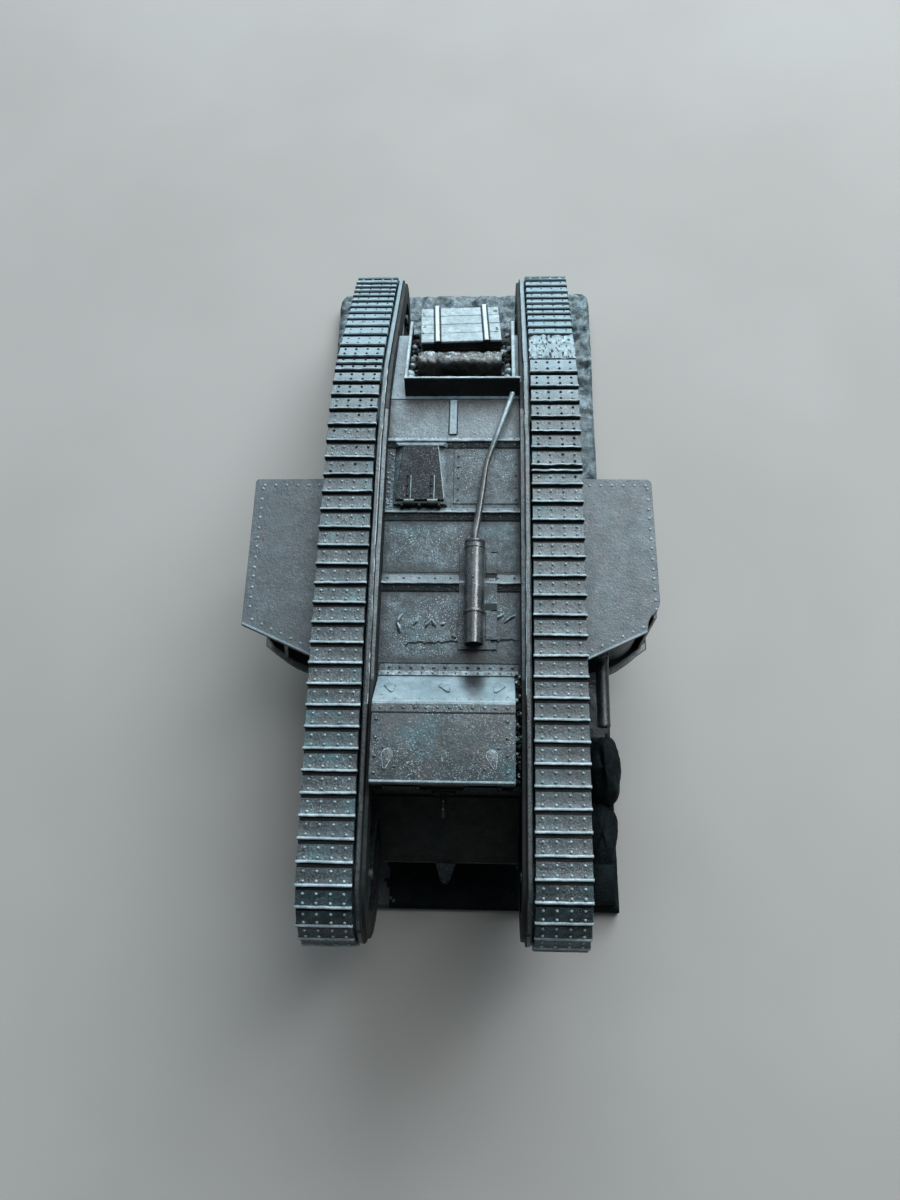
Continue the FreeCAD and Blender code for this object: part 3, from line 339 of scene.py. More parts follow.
# Near-black gloss for the lumps, and painted shade on the base between the horns and beside the
# gun.
LUMP_AND_SHADE = paint("glossy_lump_paint", (0.001, 0.002, 0.002), (0.005, 0.008, 0.009), 0.04, 0.02, 0.55,
            0.9, 0.03, gloss=0.06)
BARREL = paint("barrel_paint", (0.005, 0.006, 0.007), (0.015, 0.016, 0.016), 0.05, 0.25, 0.30, 0.3,
               0.10, gloss=0.45)
# Paler at the exhaust's rear end, partly dust and partly painted window light.
SILENCER = paint("silencer_paint", (0.016, 0.018, 0.019), (0.062, 0.062, 0.060), 0.05, 0.40, 0.16,
                 0.10, 0.35, gloss=0.85, mottle=0.25, dust_and_light=(132, 152, 0.5))
# Pale paint, used as painted highlight on lit tops: raised joint strips, the tarpaulin's top and
# the port covers' rims; also for the pale burrs of scratches.
STRIP = paint("strip_paint", (0.170, 0.220, 0.240), (0.380, 0.440, 0.460), 0.20, 0.10, 0.34, 0.6,
              0.60, mottle=0.6)
# Near-black paint for painted shade: strips and lines in front of roof joints, grooves round the
# port covers, the lift bar's outline and the towing lug.
GUTTER_SHADE = paint("gutter_shade_paint", (0.004, 0.005, 0.005), (0.012, 0.014, 0.015), 0.10, 0.20, 0.6, 0.5,
               0.25, gloss=0.12)


# ---- mesh building


def inset(points, amount):
    """A closed outline moved inwards by amount."""
    area = sum(a[0] * b[1] - b[0] * a[1] for a, b in zip(points, points[1:] + points[:1]))
    amount = copysign(amount, area)
    moved = []
    for before, here, after in zip(points[-1:] + points[:-1], points, points[1:] + points[:1]):
        ax, ay = here[0] - before[0], here[1] - before[1]
        bx, by = after[0] - here[0], after[1] - here[1]
        la, lb = hypot(ax, ay), hypot(bx, by)
        ax, ay, bx, by = ax / la, ay / la, bx / lb, by / lb
        share = amount / max(0.25, 1 + ax * bx + ay * by)
        moved.append((here[0] - (ay + by) * share, here[1] + (ax + bx) * share))
    return moved


def plan(a, b, h):
    return V(a, b, h)


def side(a, b, h):
    return V(h, a, b)


def front(a, b, h):
    return V(a, h, b)


def polar(radius, angle):
    return radius * cos(angle), radius * sin(angle)


def circle(radius, count):
    return [polar(radius, tau * k / count) for k in range(count)]


def rectangle(a0, a1, b0, b1):
    return [(a0, b0), (a1, b0), (a1, b1), (a0, b1)]


class Piece:
    """One mesh in the making, in millimetres, with a material number for each face."""

    def __init__(self, name, *materials):
        self.name = name
        self.materials = materials
        self.points = []
        self.faces = []
        self.numbers = []

    def skin(self, rings, number=0, caps=True, special=None):
        """Joins rings of equally many points. special gives other materials to some edges."""
        special = special or {}
        start = len(self.points)
        size = len(rings[0])
        for ring in rings:
            self.points.extend(ring)
        for index in range(len(rings) - 1):
            low = start + index * size
            for j in range(size):
                k = (j + 1) % size
                self.add((low + j, low + k, low + size + k, low + size + j), special.get(j, number))
        if caps:
            self.add(tuple(range(start, start + size)), number)
            top = start + (len(rings) - 1) * size
            self.add(tuple(range(top, top + size)), number)

    def add(self, corners, number):
        self.faces.append(corners)
        self.numbers.append(number)

    def prism(self, outline, low, high, turn=plan, bevel=0.15, number=0, top=None):
        """An outline pulled from low to high, with its edges bevelled. top narrows the high end."""
        upper = top or outline
        rings = [(inset(outline, bevel), low), (outline, low + bevel), (upper, high - bevel),
                 (inset(upper, bevel), high)]
        self.skin([[turn(a, b, h) for a, b in ring] for ring, h in rings], number)

    def box(self, a, b, h, turn=plan, bevel=0.15, number=0):
        self.prism(rectangle(a[0], a[1], b[0], b[1]), h[0], h[1], turn, bevel, number)

    def lathe(self, foot, along, profile, number=0, segments=28, caps=True):
        """Turns a profile of (distance, radius) about the line from foot along a direction."""
        along = along.normalized()
        u = along.orthogonal().normalized()
        v = along.cross(u)
        rings = []
        for distance, radius in profile:
            ring = []
            for k in range(segments):
                angle = tau * k / segments
                ring.append(foot + along * distance + (u * cos(angle) + v * sin(angle)) * radius)
            rings.append(ring)
        self.skin(rings, number, caps)

    def rivet(self, at, normal=UP, radius=0.33, height=0.24, number=0):
        profile = [(-0.05, radius * 1.05), (height * 0.45, radius * 0.88),
                   (height * 0.85, radius * 0.5), (height, radius * 0.12)]
        self.lathe(at, normal, profile, number, 8)

    def tube(self, path, radii, number=0, segments=16):
        rings = []
        u = None
        for index, point in enumerate(path):
            along = (path[min(index + 1, len(path) - 1)] - path[max(index - 1, 0)]).normalized()
            u = (along.orthogonal() if u is None else u - along * u.dot(along)).normalized()
            v = along.cross(u)
            angles = [tau * k / segments for k in range(segments)]
            rings.append([point + (u * cos(a) + v * sin(a)) * radii[index] for a in angles])
        self.skin(rings, number)

    def recolour(self, first, choose):
        """Gives the faces from first on the material numbers that choose returns for them."""
        for index in range(first, len(self.faces)):
            self.numbers[index] = choose(self.points[self.faces[index][0]], self.numbers[index])

    def finish(self, *nodes, body="chassis", slot="dark_hull", sharp=38):
        mesh = bpy.data.meshes.new(self.name)
        mesh.from_pydata([P(*point) for point in self.points], [], self.faces)
        for material in self.materials:
            mesh.materials.append(material)
        mesh.polygons.foreach_set("material_index", self.numbers)
        mesh.polygons.foreach_set("use_smooth", [True] * len(self.faces))
        tidy = bmesh.new()
        tidy.from_mesh(mesh)
        bmesh.ops.recalc_face_normals(tidy, faces=tidy.faces)
        tidy.to_mesh(mesh)
        tidy.free()
        mesh.set_sharp_from_angle(angle=radians(sharp))
        item = bpy.data.objects.new(self.name, mesh)
        bpy.context.scene.collection.objects.link(item)
        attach(item, body)
        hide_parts(*nodes)


def scatter(low, high):
    return rng.uniform(low, high)


# ---- tracks and their frames

PULLEYS = [(18.5, 47.5, 18.5), (82.0, -431.7, 500.0), (135.3, -24.1, 90.0), (214.5, 18.5, 14.5),
           (138.0, 100.0, 100.0), (84.0, 60.0, 60.0)]


def belt_loop(drawn_in, step=1.4):
    """Points round the belt's closed line, from the front of the horn over the top to the tail."""
    runs = []
    count = len(PULLEYS)
    for index in range(count):
        ax, ay, ar = PULLEYS[index]
        bx, by, br = PULLEYS[(index + 1) % count]
        length = hypot(bx - ax, by - ay)
        dx, dy = (bx - ax) / length, (by - ay) / length
        lean = (ar - br) / length
        rise = sqrt(1 - lean * lean)
        runs.append(atan2(dy * lean + dx * rise, dx * lean - dy * rise))
    points = []
    for index in range(count):
        x, y, radius = PULLEYS[index]
        first, last = runs[index - 1], runs[index]
        sweep = (first - last) % tau
        pieces = max(2, ceil(radius * sweep / step))
        radius -= drawn_in
        for k in range(pieces + 1):
            angle = first - sweep * k / pieces
            points.append((x + radius * cos(angle), y + radius * sin(angle)))
    return points


def belt_heights(back, drawn_in):
    """How low and how high the belt's line, drawn in, is at a distance back."""
    line = belt_loop(drawn_in)
    heights = []
    for (b0, u0), (b1, u1) in zip(line, line[1:] + line[:1]):
        if min(b0, b1) <= back <= max(b0, b1) and b0 != b1:
            heights.append(u0 + (u1 - u0) * (back - b0) / (b1 - b0))
    return min(heights), max(heights)


class BeltLine:
    """Places along the outside of a belt, by distance: it runs forward over the top."""

    def __init__(self):
        line = belt_loop(0.0, 0.5)[::-1]
        self.points = []
        for here, after in zip(line, line[1:] + line[:1]):
            steps = max(1, ceil(dist(here, after) / 0.5))
            for k in range(steps):
                self.points.append((here[0] + (after[0] - here[0]) * k / steps,
                                    here[1] + (after[1] - here[1]) * k / steps))
        self.reach = [0.0]
        for here, after in zip(self.points, self.points[1:] + self.points[:1]):
            self.reach.append(self.reach[-1] + dist(here, after))
        self.length = self.reach[-1]

    def at(self, distance, height):
        distance %= self.length
        low, high = 0, len(self.points)
        while high - low > 1:
            middle = (low + high) // 2
            if self.reach[middle] <= distance:
                low = middle
            else:
                high = middle
        here, after = self.points[low], self.points[(low + 1) % len(self.points)]
        share = (distance - self.reach[low]) / (self.reach[low + 1] - self.reach[low])
        back = here[0] + (after[0] - here[0]) * share
        up = here[1] + (after[1] - here[1]) * share
        before = self.points[low - 1]
        later = self.points[(low + 2) % len(self.points)]
        tx, ty = later[0] - before[0], later[1] - before[1]
        size = hypot(tx, ty)
        return back + ty / size * height, up - tx / size * height


BELT = BeltLine()
# Distances along the belt at which the plates start on the tail, where they bunch up. After them
# comes the even run over the top.
TAIL_SEAMS = {
    "left": [198.8, 202.2, 205.8, 209.5, 213.6, 218.0, 222.6, 227.3, 232.5, 238.6, 246.1, 253.3,
             257.1, 260.5],
    "right": [197.5, 202.2, 207.5, 212.0, 216.3, 220.5, 224.3, 229.0, 234.0, 239.0, 245.0, 249.5,
              254.0, 262.0,
              268.5, 274.7, 280.5, 285.8, 291.2, 297.0, 299.0, 303.3],
}
SHALLOW = {"left": (257.1,), "right": (299.0, 234.0, 229.0)}
MELTED = {"left": (), "right": (239.0, 245.0, 249.5)}
TOP_PITCH, LOWER_PITCH, TOP_END = 5.66, 5.6, 425.0
BELT_INNER, BELT_OUTER = 22.6, 37.1
RIVET_COLUMNS = (0.14, 0.375, 0.62, 0.855)
PLATE_COLUMNS = [0.0, 0.02, 0.1, 0.2, 0.3, 0.4, 0.5, 0.6, 0.7, 0.8, 0.9, 0.98, 1.0]


def seams(side_name):
    """The distance along the belt at which each plate starts, once round."""
    places = list(TAIL_SEAMS[side_name])
    last = places[0] + BELT.length
    while places[-1] < TOP_END:
        places.append(places[-1] + TOP_PITCH)
    rest = round((last - places[-1]) / LOWER_PITCH)
    step = (last - places[-1]) / rest
    return places + [places[-1] + step * (k + 1) for k in range(rest)]


def plate_profile(length, shallow, melted, tail):
    """A plate's section as (distance, height) from groove to lip, and its edges' materials."""
    if melted:
        return [(0.0, -0.85), (0.2, -0.75), (length * 0.3, -0.5), (length * 0.6, -0.45),
                (length * 0.8, -0.6), (length - 0.2, -0.8), (length - 0.05, -0.85),
                (length - 0.03, -1.6), (0.0, -1.6)], {}
    deep = -0.95 if shallow else -1.38
    wide = 0.30 if tail or shallow else 0.72
    edge = 0.12 if tail else 0.26
    points = [(0.0, deep), (wide, deep + 0.04), (wide + 0.14, -0.80)]
    if length > 3.2:
        points += [(0.35 * length, -0.72), (0.52 * length, -0.72), (0.68 * length, -0.62)]
    points += [(length - 0.92, -0.36), (length - 0.72, -0.10), (length - 0.52, 0.0),
               (length - edge, -0.03), (length - edge / 2, -0.5), (length - 0.04, deep),
               (length - 0.04, -1.6), (0.0, -1.6)]
    top = len(points) - 1
    # Edge materials: the groove is painted shade, except the wall on the tail's plates; the lip's
    # top is a painted highlight and its front face painted shade.
    special = {0: 2, 1: 0 if tail else 2, top - 7: 1, top - 6: 1, top - 5: 1, top - 3: 2,
               top - 2: 2}
    return points, special


def across(share):
    return BELT_INNER + (BELT_OUTER - BELT_INNER) * share


def pale_rivet_chance(place):
    """How likely a rivet's head is painted pale as a highlight: in front most are, at the tail they
    are painted dark as shade.
    """
    return max(0.0, min(1.0, (place - 255.0) / 50.0))


def pitted(at, number):
    pit = ripple(at.x * 1.6, at.y * 1.6, 3.0)
    return 2 if pit > 0.30 else (1 if pit < -0.26 else 0)


def track(side_name, sign):
    """The plates of one belt, each a little askew, with a lip painted as a highlight and two rows
    of rivets.
    """
    piece = Piece("track_" + side_name, TRACK, HIGHLIGHT_AND_WEAR, PAINTED_SHADE)
    places = seams(side_name)
    for number, (start, end) in enumerate(zip(places, places[1:])):
        length = end - start
        melted = start in MELTED[side_name]
        profile, special = plate_profile(length, start in SHALLOW[side_name], melted, start < 236)
        skew = scatter(-0.16, 0.16)
        lift = scatter(-0.07, 0.0)
        rough = 1.0 if 225 < start < 305 else 0.45
        rings = []
        for share in [k / 40 for k in range(41)] if melted else PLATE_COLUMNS:
            out = sign * across(share)
            rim = share in (0.0, 1.0)
            wave = ripple(share * 4.0, number * 3.7, sign * 5.0)
            fray = 0.25 * rough * ripple(share * 9.0, number * 2.3, sign * 3.0)
            ring = []
            for t, height in profile:
                if height > -1.3:
                    height += lift - (0.18 if rim else 0.0) - 0.06 * abs(wave)
                    height += 0.10 * rough * ripple(share * 6, t * 1.2, number)
                    if melted:
                        height += 0.55 * ripple(share * 11, (start + t) * 0.8, 4.0)
                move = skew * (share - 0.5) + fray if length * 0.5 < t < length - 0.1 else 0.0
                back, up = BELT.at(start + t + move, min(height, 0.0))
                inside = 0.22 if rim and t < length - 1 else 0.0
                ring.append(V(out + sign * (inside if share == 0 else -inside), back, up))
            rings.append(ring)
        if melted:
            first = len(piece.faces)
            piece.skin(rings)
            piece.recolour(first, pitted)
            continue
        piece.skin(rings, special=special)
        if length < 3.3:
            continue
        for share_along in (0.31, 0.74):
            for share in RIVET_COLUMNS:
                if share_along > 0.5 and (length < 5.0 or start < 232):
                    continue
                place = start + share_along * length + skew * (share - 0.5)
                height = -0.72 if share_along < 0.5 else -0.50
                a = BELT.at(place, height + lift)
                b = BELT.at(place, height + lift + 1)
                # Pale rivet heads are painted highlights and dark ones painted shade.
                pale_top = rng.random() < pale_rivet_chance(place)
                piece.rivet(V(sign * across(share), *a), V(0, b[0] - a[0], b[1] - a[1]),
                            0.42 if start > 240 else 0.3, 0.40 if start > 240 else 0.22,
                            1 if pale_top else 2)
    piece.finish("track_belt_" + side_name, slot="track_plastic", sharp=30)


SEAMS = (46.0, 75.0, 104.0, 133.0, 162.0, 190.0)


def rail_number(at, number):
    """The rail's paint: painted shade at its ends, and a painted highlight along its ridge that
    breaks off in patches.
    """
    if number == 1 and abs(at.x) < 20.8 and (at.y > 150 or at.y < 66):
        return 0
    if number == 2 and at.y < 55:
        return 0
    if number == 2 and noise.noise(at * 0.22) + 0.4 * noise.noise(at * 1.3) < 0.16:
        return 1
    return number


def frame_plates(side_name, sign):
    """The two side plates of a track frame: the inner one has a ridge along its top."""
    inner = Piece("inner_rail_" + side_name, PAINTED_SHADE, RAIL, HIGHLIGHT_AND_WEAR)
    profile = ((19.62, 9.0), (19.62, 2.3), (20.55, 2.1), (20.75, 1.05), (20.95, 1.0), (21.8, 1.05),
               (22.2, 1.5))
    loops = []
    for out, drawn_in in profile:
        loop = []
        for b, u in belt_loop(drawn_in):
            dent = 0.30 * ripple(b * 0.16, u * 0.16, 3) + 0.12 * ripple(b * 0.7, u, 5)
            loop.append(V(sign * (out + (dent if 20.0 < out < 22.1 else 0.0)), b, u))
        loops.append(loop)
    # The inner face and the ridge's inner slope are painted shade and the ridge's top a painted
    # highlight; rail_number turns some of each back.
    for number, pair in zip((0, 1, 0, 2, 1, 1), zip(loops, loops[1:])):
        first = len(inner.faces)
        inner.skin(pair, number, False)
        inner.recolour(first, rail_number)
    inner.finish("inner_frame_" + side_name, sharp=20)
    outer = Piece("outer_rail_" + side_name, OUTER)
    rings = []
    for out, drawn_in in ((34.2, 2.0), (34.4, 1.8), (36.1, 1.8), (36.3, 2.0)):
        rings.append([V(sign * out, b, u) for b, u in belt_loop(drawn_in)])
    outer.skin(rings)
    for k in range(round(BELT.length / 4.2)):
        outer.rivet(V(sign * 36.3, *BELT.at(4.2 * k, -4.6)), V(sign, 0, 0), 0.36, 0.25)
    for seam in SEAMS:
        below, above = belt_heights(seam, 5.6)
        outer.box((seam - 1.3, seam + 1.3), (below, above), sorted((sign * 36.2, sign * 36.55)),
                  side, 0.1)
        for k in range(int((above - below) / 3.6)):
            outer.rivet(V(sign * 36.55, seam, below + 2 + 3.6 * k), V(sign, 0, 0), 0.34, 0.22)
    outer.finish("outer_frame_" + side_name, sharp=20)


track("left", -1)
track("right", 1)
for side_name, sign in (("left", -1), ("right", 1)):
    frame_plates(side_name, sign)


# ---- hull plates

ROOF = 59.5
HALF_HULL = 19.6
DECK_FRONT = (157.1, 57.43)
DECK_REAR = (190.5, 42.5)
FALL = (DECK_FRONT[1] - DECK_REAR[1]) / (DECK_REAR[0] - DECK_FRONT[0])
TILT = atan(FALL)
TRAY_BACK = 158.7
TRAY_FRONT = (TRAY_BACK, DECK_FRONT[1] - (TRAY_BACK - DECK_FRONT[0]) * FALL)


def on_deck(out, along, above):
    """A place in the tray, along the sloping deck and above it."""
    return V(out, TRAY_FRONT[0] + along * cos(TILT) + above * sin(TILT),
             TRAY_FRONT[1] - along * sin(TILT) + above * cos(TILT))


def edge_plate(piece, start, end):
    """A hull plate, 1 mm thick, seen edge-on from start to end, lying on the right of that line."""
    dx, dy = end[0] - start[0], end[1] - start[1]
    size = hypot(dx, dy)
    nx, ny = dy / size, -dx / size
    outline = [start, end, (end[0] + nx, end[1] + ny), (start[0] + nx, start[1] + ny)]
    piece.prism(outline, -HALF_HULL, HALF_HULL, side, 0.12)


JITTER = 0.06


def rivet_row(piece, a, b, count, normal=UP, radius=0.33, height=0.24, number=0):
    for index in range(count):
        share = index / max(1, count - 1)
        at = Vector(a) + (Vector(b) - Vector(a)) * share
        at += V(scatter(-JITTER, JITTER), scatter(-JITTER, JITTER), 0)
        piece.rivet(at, normal, radius, height, number)


def joint(piece, back, strip, gutter, rivets, drop=0.85, number=5):
    """A riveted angle over a joint: a raised strip whose lip is a painted highlight, and before it
    a lower strip and lines painted as shade.
    """
    rear = back + strip
    profile = [(back, ROOF + 0.02), (back, ROOF + drop - 0.30), (back + 0.1, ROOF + drop),
               (back + 0.55, ROOF + drop + 0.03), (back + 0.8, ROOF + drop - 0.12),
               (rear, ROOF + 0.30), (rear + 0.1, ROOF + 0.02)]
    piece.prism(profile, -HALF_HULL, HALF_HULL, side, 0.08, number)
    rings = []
    for k in range(41):
        out = -HALF_HULL + 0.1 + (2 * HALF_HULL - 0.2) * k / 40
        sway = 0.12 * ripple(out * 0.3, back, 1) + 0.07 * ripple(out * 1.3, back, 4)
        lip = ((back - 0.02, drop - 0.16), (back + 0.12, drop + 0.05), (back + 0.48, drop + 0.07),
               (back + 0.7, drop - 0.1))
        rings.append([V(out, b + sway, ROOF + u) for b, u in lip])
    piece.skin(rings, 2)
    lower = [(back - gutter, ROOF + 0.02), (back - gutter, ROOF + 0.22),
             (back - gutter + 0.3, ROOF + 0.26), (back - 0.1, ROOF + 0.10),
             (back - 0.1, ROOF + 0.02)]
    piece.prism(lower, -HALF_HULL, HALF_HULL, side, 0.05, 1)
    piece.box((-HALF_HULL, HALF_HULL), (back - gutter - 0.35, back - gutter),
              (ROOF - 0.02, ROOF + 0.03), plan, 0.01, 3)
    piece.box((-HALF_HULL, HALF_HULL), (back - 0.75, back - 0.05), (ROOF - 0.02, ROOF + 0.16), plan,
              0.01, 3)
    top = ROOF + drop - 0.30
    rivet_row(piece, (-17.8, back + strip * 0.62, top), (17.8, back + strip * 0.62, top), rivets,
              radius=0.36)
    rivet_row(piece, (-16.2, back - gutter * 0.5, ROOF + 0.22),
              (18.0, back - gutter * 0.5, ROOF + 0.22), rivets, radius=0.36, height=0.26)


def scrape(piece, points, width, number=0):
    """A short raised thread of glue or a scratch's burr."""
    path = [Vector(point) for point in points]
    piece.tube(path, [width * 0.25] + [width * 0.5] * (len(path) - 2) + [width * 0.25], number, 6)


def roof():
    plate = Piece("roof_front", HULL, STRIP, PAINTED_SHADE)
    edge_plate(plate, (60.0, ROOF), (96.35, ROOF))
    # a film of old filler with a torn front edge
    film = [(-12.3, 78.4)]
    for k in range(1, 34):
        film.append((-12.3 + 31.2 * k / 34, 79.2 + 1.2 * k / 34 + scatter(-0.35, 0.35)))
    film += [(19.0, 80.2), (19.2, 87.4), (11.5, 88.6), (-4.0, 89.6), (-12.6, 86.0)]
    plate.prism(film, ROOF - 0.05, ROOF + 0.24, plan, 0.04)
    shadow = [(x, y - 0.5) for x, y in film[:34]] + [(x, y + 0.3) for x, y in film[33::-1]]
    plate.prism(shadow, ROOF - 0.03, ROOF + 0.03, plan, 0.01, 2)
    for a, b in (((-14.6, 85.2), (-13.2, 87.6)), ((-14.6, 85.2), (-13.5, 82.4)),
                 ((-9.9, 84.6), (-8.7, 87.0)), ((-6.6, 84.0), (-5.2, 86.2)),
                 ((-4.9, 86.0), (-3.6, 84.2)), ((-2.4, 84.8), (-1.2, 85.1)),
                 ((12.4, 86.4), (15.0, 87.8)), ((15.2, 85.4), (18.2, 87.4)),
                 ((0.6, 81.6), (2.0, 81.0))):
        middle = ((a[0] + b[0]) / 2 + scatter(-0.2, 0.2), (a[1] + b[1]) / 2 + scatter(-0.2, 0.2))
        scrape(plate, [(*a, ROOF + 0.20), (*middle, ROOF + 0.42), (*b, ROOF + 0.20)],
               scatter(0.6, 0.9), 1)
        # A dark line in front of each scratch is its painted shadow.
        below = [(x - 0.2, y - 0.5, ROOF + 0.20) for x, y in (a, middle, b)]
        scrape(plate, below, 0.8, 2)
    plate.finish("roof_plate_front")

    plate = Piece("roof_middle", HULL)
    edge_plate(plate, (96.45, ROOF), (117.95, ROOF))
    plate.box((-18.4, 18.6), (100.0, 114.6), (ROOF - 0.1, ROOF + 0.12), plan, 0.06)
    plate.finish("roof_plate_middle")

    plate = Piece("roof_hatch_plate", HULL, DECK, PAINTED_SHADE)
    opening = [(-15.3, 122.2), (-3.7, 122.2), (-5.8, 137.8), (-13.4, 137.8)]
    corners = rectangle(-HALF_HULL, HALF_HULL, 118.05, 140.15)
    for index in range(4):
        after = (index + 1) % 4
        plate.prism([corners[index], corners[after], opening[after], opening[index]], ROOF - 1,
                    ROOF, plan, 0.02)
    plate.box((0.2, 19.2), (121.2, 138.9), (ROOF - 0.1, ROOF + 0.32), plan, 0.1)
    # A strip of painted shadow under and in front of the hatch hinge.
    plate.box((-16.6, -1.8), (118.3, 120.7), (ROOF - 0.1, ROOF + 0.05), plan, 0.01, 2)
    rivet_row(plate, (1.5, 122.4, ROOF + 0.32), (1.5, 136.6, ROOF + 0.32), 5, radius=0.42,
              height=0.3)
    rivet_row(plate, (18.3, 122.6, ROOF + 0.32), (18.4, 134.0, ROOF + 0.32), 4, radius=0.34)
    for k in range(46):
        at = V(scatter(-19.2, -17.5), scatter(120.0, 138.6), ROOF + 0.02)
        plate.rivet(at, radius=scatter(0.2, 0.5), height=scatter(0.15, 0.35), number=1)
    plate.finish("roof_plate_hatch")

    plate = Piece("roof_rear", REAR_ROOF, DECK, GUTTER_SHADE)
    edge_plate(plate, (140.4, ROOF), DECK_FRONT)
    fall = (ROOF - DECK_FRONT[1]) / (DECK_FRONT[0] - 140.4)
    lift = [(144.2, ROOF - 3.8 * fall - 0.05), (156.6, ROOF - 16.2 * fall - 0.05),
            (156.6, ROOF - 16.2 * fall + 0.55), (144.2, ROOF - 3.8 * fall + 0.55)]
    # A pale lift bar, with a dark outline round its foot as its painted shadow.
    plate.prism(lift, -1.45, 0.75, side, 0.15, 1)
    plate.prism([(b, u - 0.45) for b, u in lift], -1.75, 1.05, side, 0.05, 2)
    for k in range(7):
        out = -17.6 + 2.9 * k + (3.0 if k > 4 else 0)
        plate.rivet(V(out, 142.9, ROOF - 2.5 * fall), radius=0.28, height=0.18)
    plate.finish("roof_plate_rear")

    strips = Piece("roof_joints", HULL, GUTTER_SHADE, HIGHLIGHT_AND_WEAR, GUTTER_SHADE, STRIP, REAR_ROOF)
    joint(strips, 96.4, 2.8, 2.0, 9)
    joint(strips, 118.2, 1.6, 2.2, 9)
    joint(strips, 141.4, 1.3, 1.9, 10, 0.75, 4)
    # Two cover strips behind the cab slope: the front one is pale as a painted highlight, and a
    # thin line of painted shade runs along their back.
    strips.box((-19.2, 18.9), (69.95, 71.3), (ROOF, ROOF + 0.42), plan, 0.12, 4)
    strips.box((-19.2, 19.3), (71.3, 73.2), (ROOF, ROOF + 0.24), plan, 0.1, 5)
    rivet_row(strips, (-16.6, 70.6, ROOF + 0.42), (17.0, 70.6, ROOF + 0.42), 12, radius=0.26,
              height=0.16)
    rivet_row(strips, (-16.4, 72.2, ROOF + 0.24), (17.3, 72.2, ROOF + 0.24), 12, radius=0.45,
              height=0.4)
    strips.box((-19.2, 19.3), (73.2, 73.6), (ROOF - 0.02, ROOF + 0.03), plan, 0.01, 3)
    strips.finish("roof_cover_strips")


def deck():
    plate = Piece("rear_deck_plate", DECK)
    edge_plate(plate, (DECK_FRONT[0] + 0.5, DECK_FRONT[1] - 0.5 * FALL), DECK_REAR)
    for along in (0.6, 12.0):
        plate.rivet(on_deck(-17.6, along, 0), radius=0.3)
    plate.finish("rear_deck")

    # The rear plate, belly, nose and glacis are painted shade.
    plate = Piece("hull_rear_plate", PAINTED_SHADE)
    edge_plate(plate, (190.4, 41.55), (194.5, 12.2))
    for up in (16, 37.5):
        back = 190.4 + (41.55 - up) * 0.14
        rivet_row(plate, (-17, back, up), (17, back, up), 10, V(0, 1, 0.1))
    plate.finish("rear_plate")

    plate = Piece("belly", PAINTED_SHADE)
    edge_plate(plate, (193.0, 11.0), (52.0, 11.0))
    for back in (75, 103, 131, 159):
        rivet_row(plate, (-17, back, 11.0), (17, back, 11.0), 9, DOWN)
    plate.finish("belly_plate")

    plate = Piece("nose", PAINTED_SHADE)
    edge_plate(plate, (51.45, 11.1), (22.8, 28.0))
    normal = V(0, -0.508, -0.861)
    rivet_row(plate, (-17.5, 24.6, 26.8), (17.5, 24.6, 26.8), 11, normal)
    rivet_row(plate, (-17.5, 49.6, 12.1), (17.5, 49.6, 12.1), 11, normal)
    plate.finish("nose_plate")

    plate = Piece("glacis", PAINTED_SHADE)
    edge_plate(plate, (23.48, 29.09), (39.6, 46.5))
    for k in range(16):
        out = -17.8 + 35.6 * k / 15 + scatter(-0.5, 0.5)
        scrape(plate, [(out - 0.5, 24.2, 29.9), (out, 23.9, 29.7), (out + 0.6, 24.3, 30.0)],
               scatter(0.25, 0.6))
    plate.finish("glacis_plate")

    # The towing lug is painted shade.
    lug = Piece("towing_lug", GUTTER_SHADE)
    lug.prism([(-4.2, 22.95), (-2.7, 18.2), (-1.7, 17.0), (-0.8, 17.0), (0.2, 18.2), (1.8, 22.95)],
              26.9, 27.9, plan, 0.2)
    ring = [(0.35, 0.78), (0.35, 1.25), (-0.02, 1.3)]
    lug.lathe(V(-1.2, 19.2, 27.75), UP, ring, 0, 20, False)
    lug.lathe(V(-1.2, 19.2, 27.92), UP, [(0, 0.72), (0.02, 0.70)], 0, 20)
    lug.finish("tow_bracket", slot="gun_grey")


roof()
deck()

# ---- cab

CAB_TOP = 70.0
CAB_LEFT, CAB_RIGHT = -19.3, 17.8
SLOPE_TOP, SLOPE_FOOT = (60.5, 70.4), (69.8, 59.5)
SLOPE_RUN = V(0, SLOPE_FOOT[0] - SLOPE_TOP[0], SLOPE_FOOT[1] - SLOPE_TOP[1]).normalized()
SLOPE_OUT = V(0, -SLOPE_RUN.z, SLOPE_RUN.y)


def on_slope(out, down):
    """A place on the cab's rear slope, from its top edge down."""
    return V(out, *SLOPE_TOP) + SLOPE_RUN * down


def teardrop(length, width=1.55):
    """A port cover in plan: round at one end and pointed at the other, pivoted at its point."""
    outline = [polar(width, radians(-20 + 220 * k / 14)) for k in range(15)]
    return outline + [(-0.42, -length + 0.2), (-0.15, -length), (0.15, -length),
                      (0.42, -length + 0.2)]


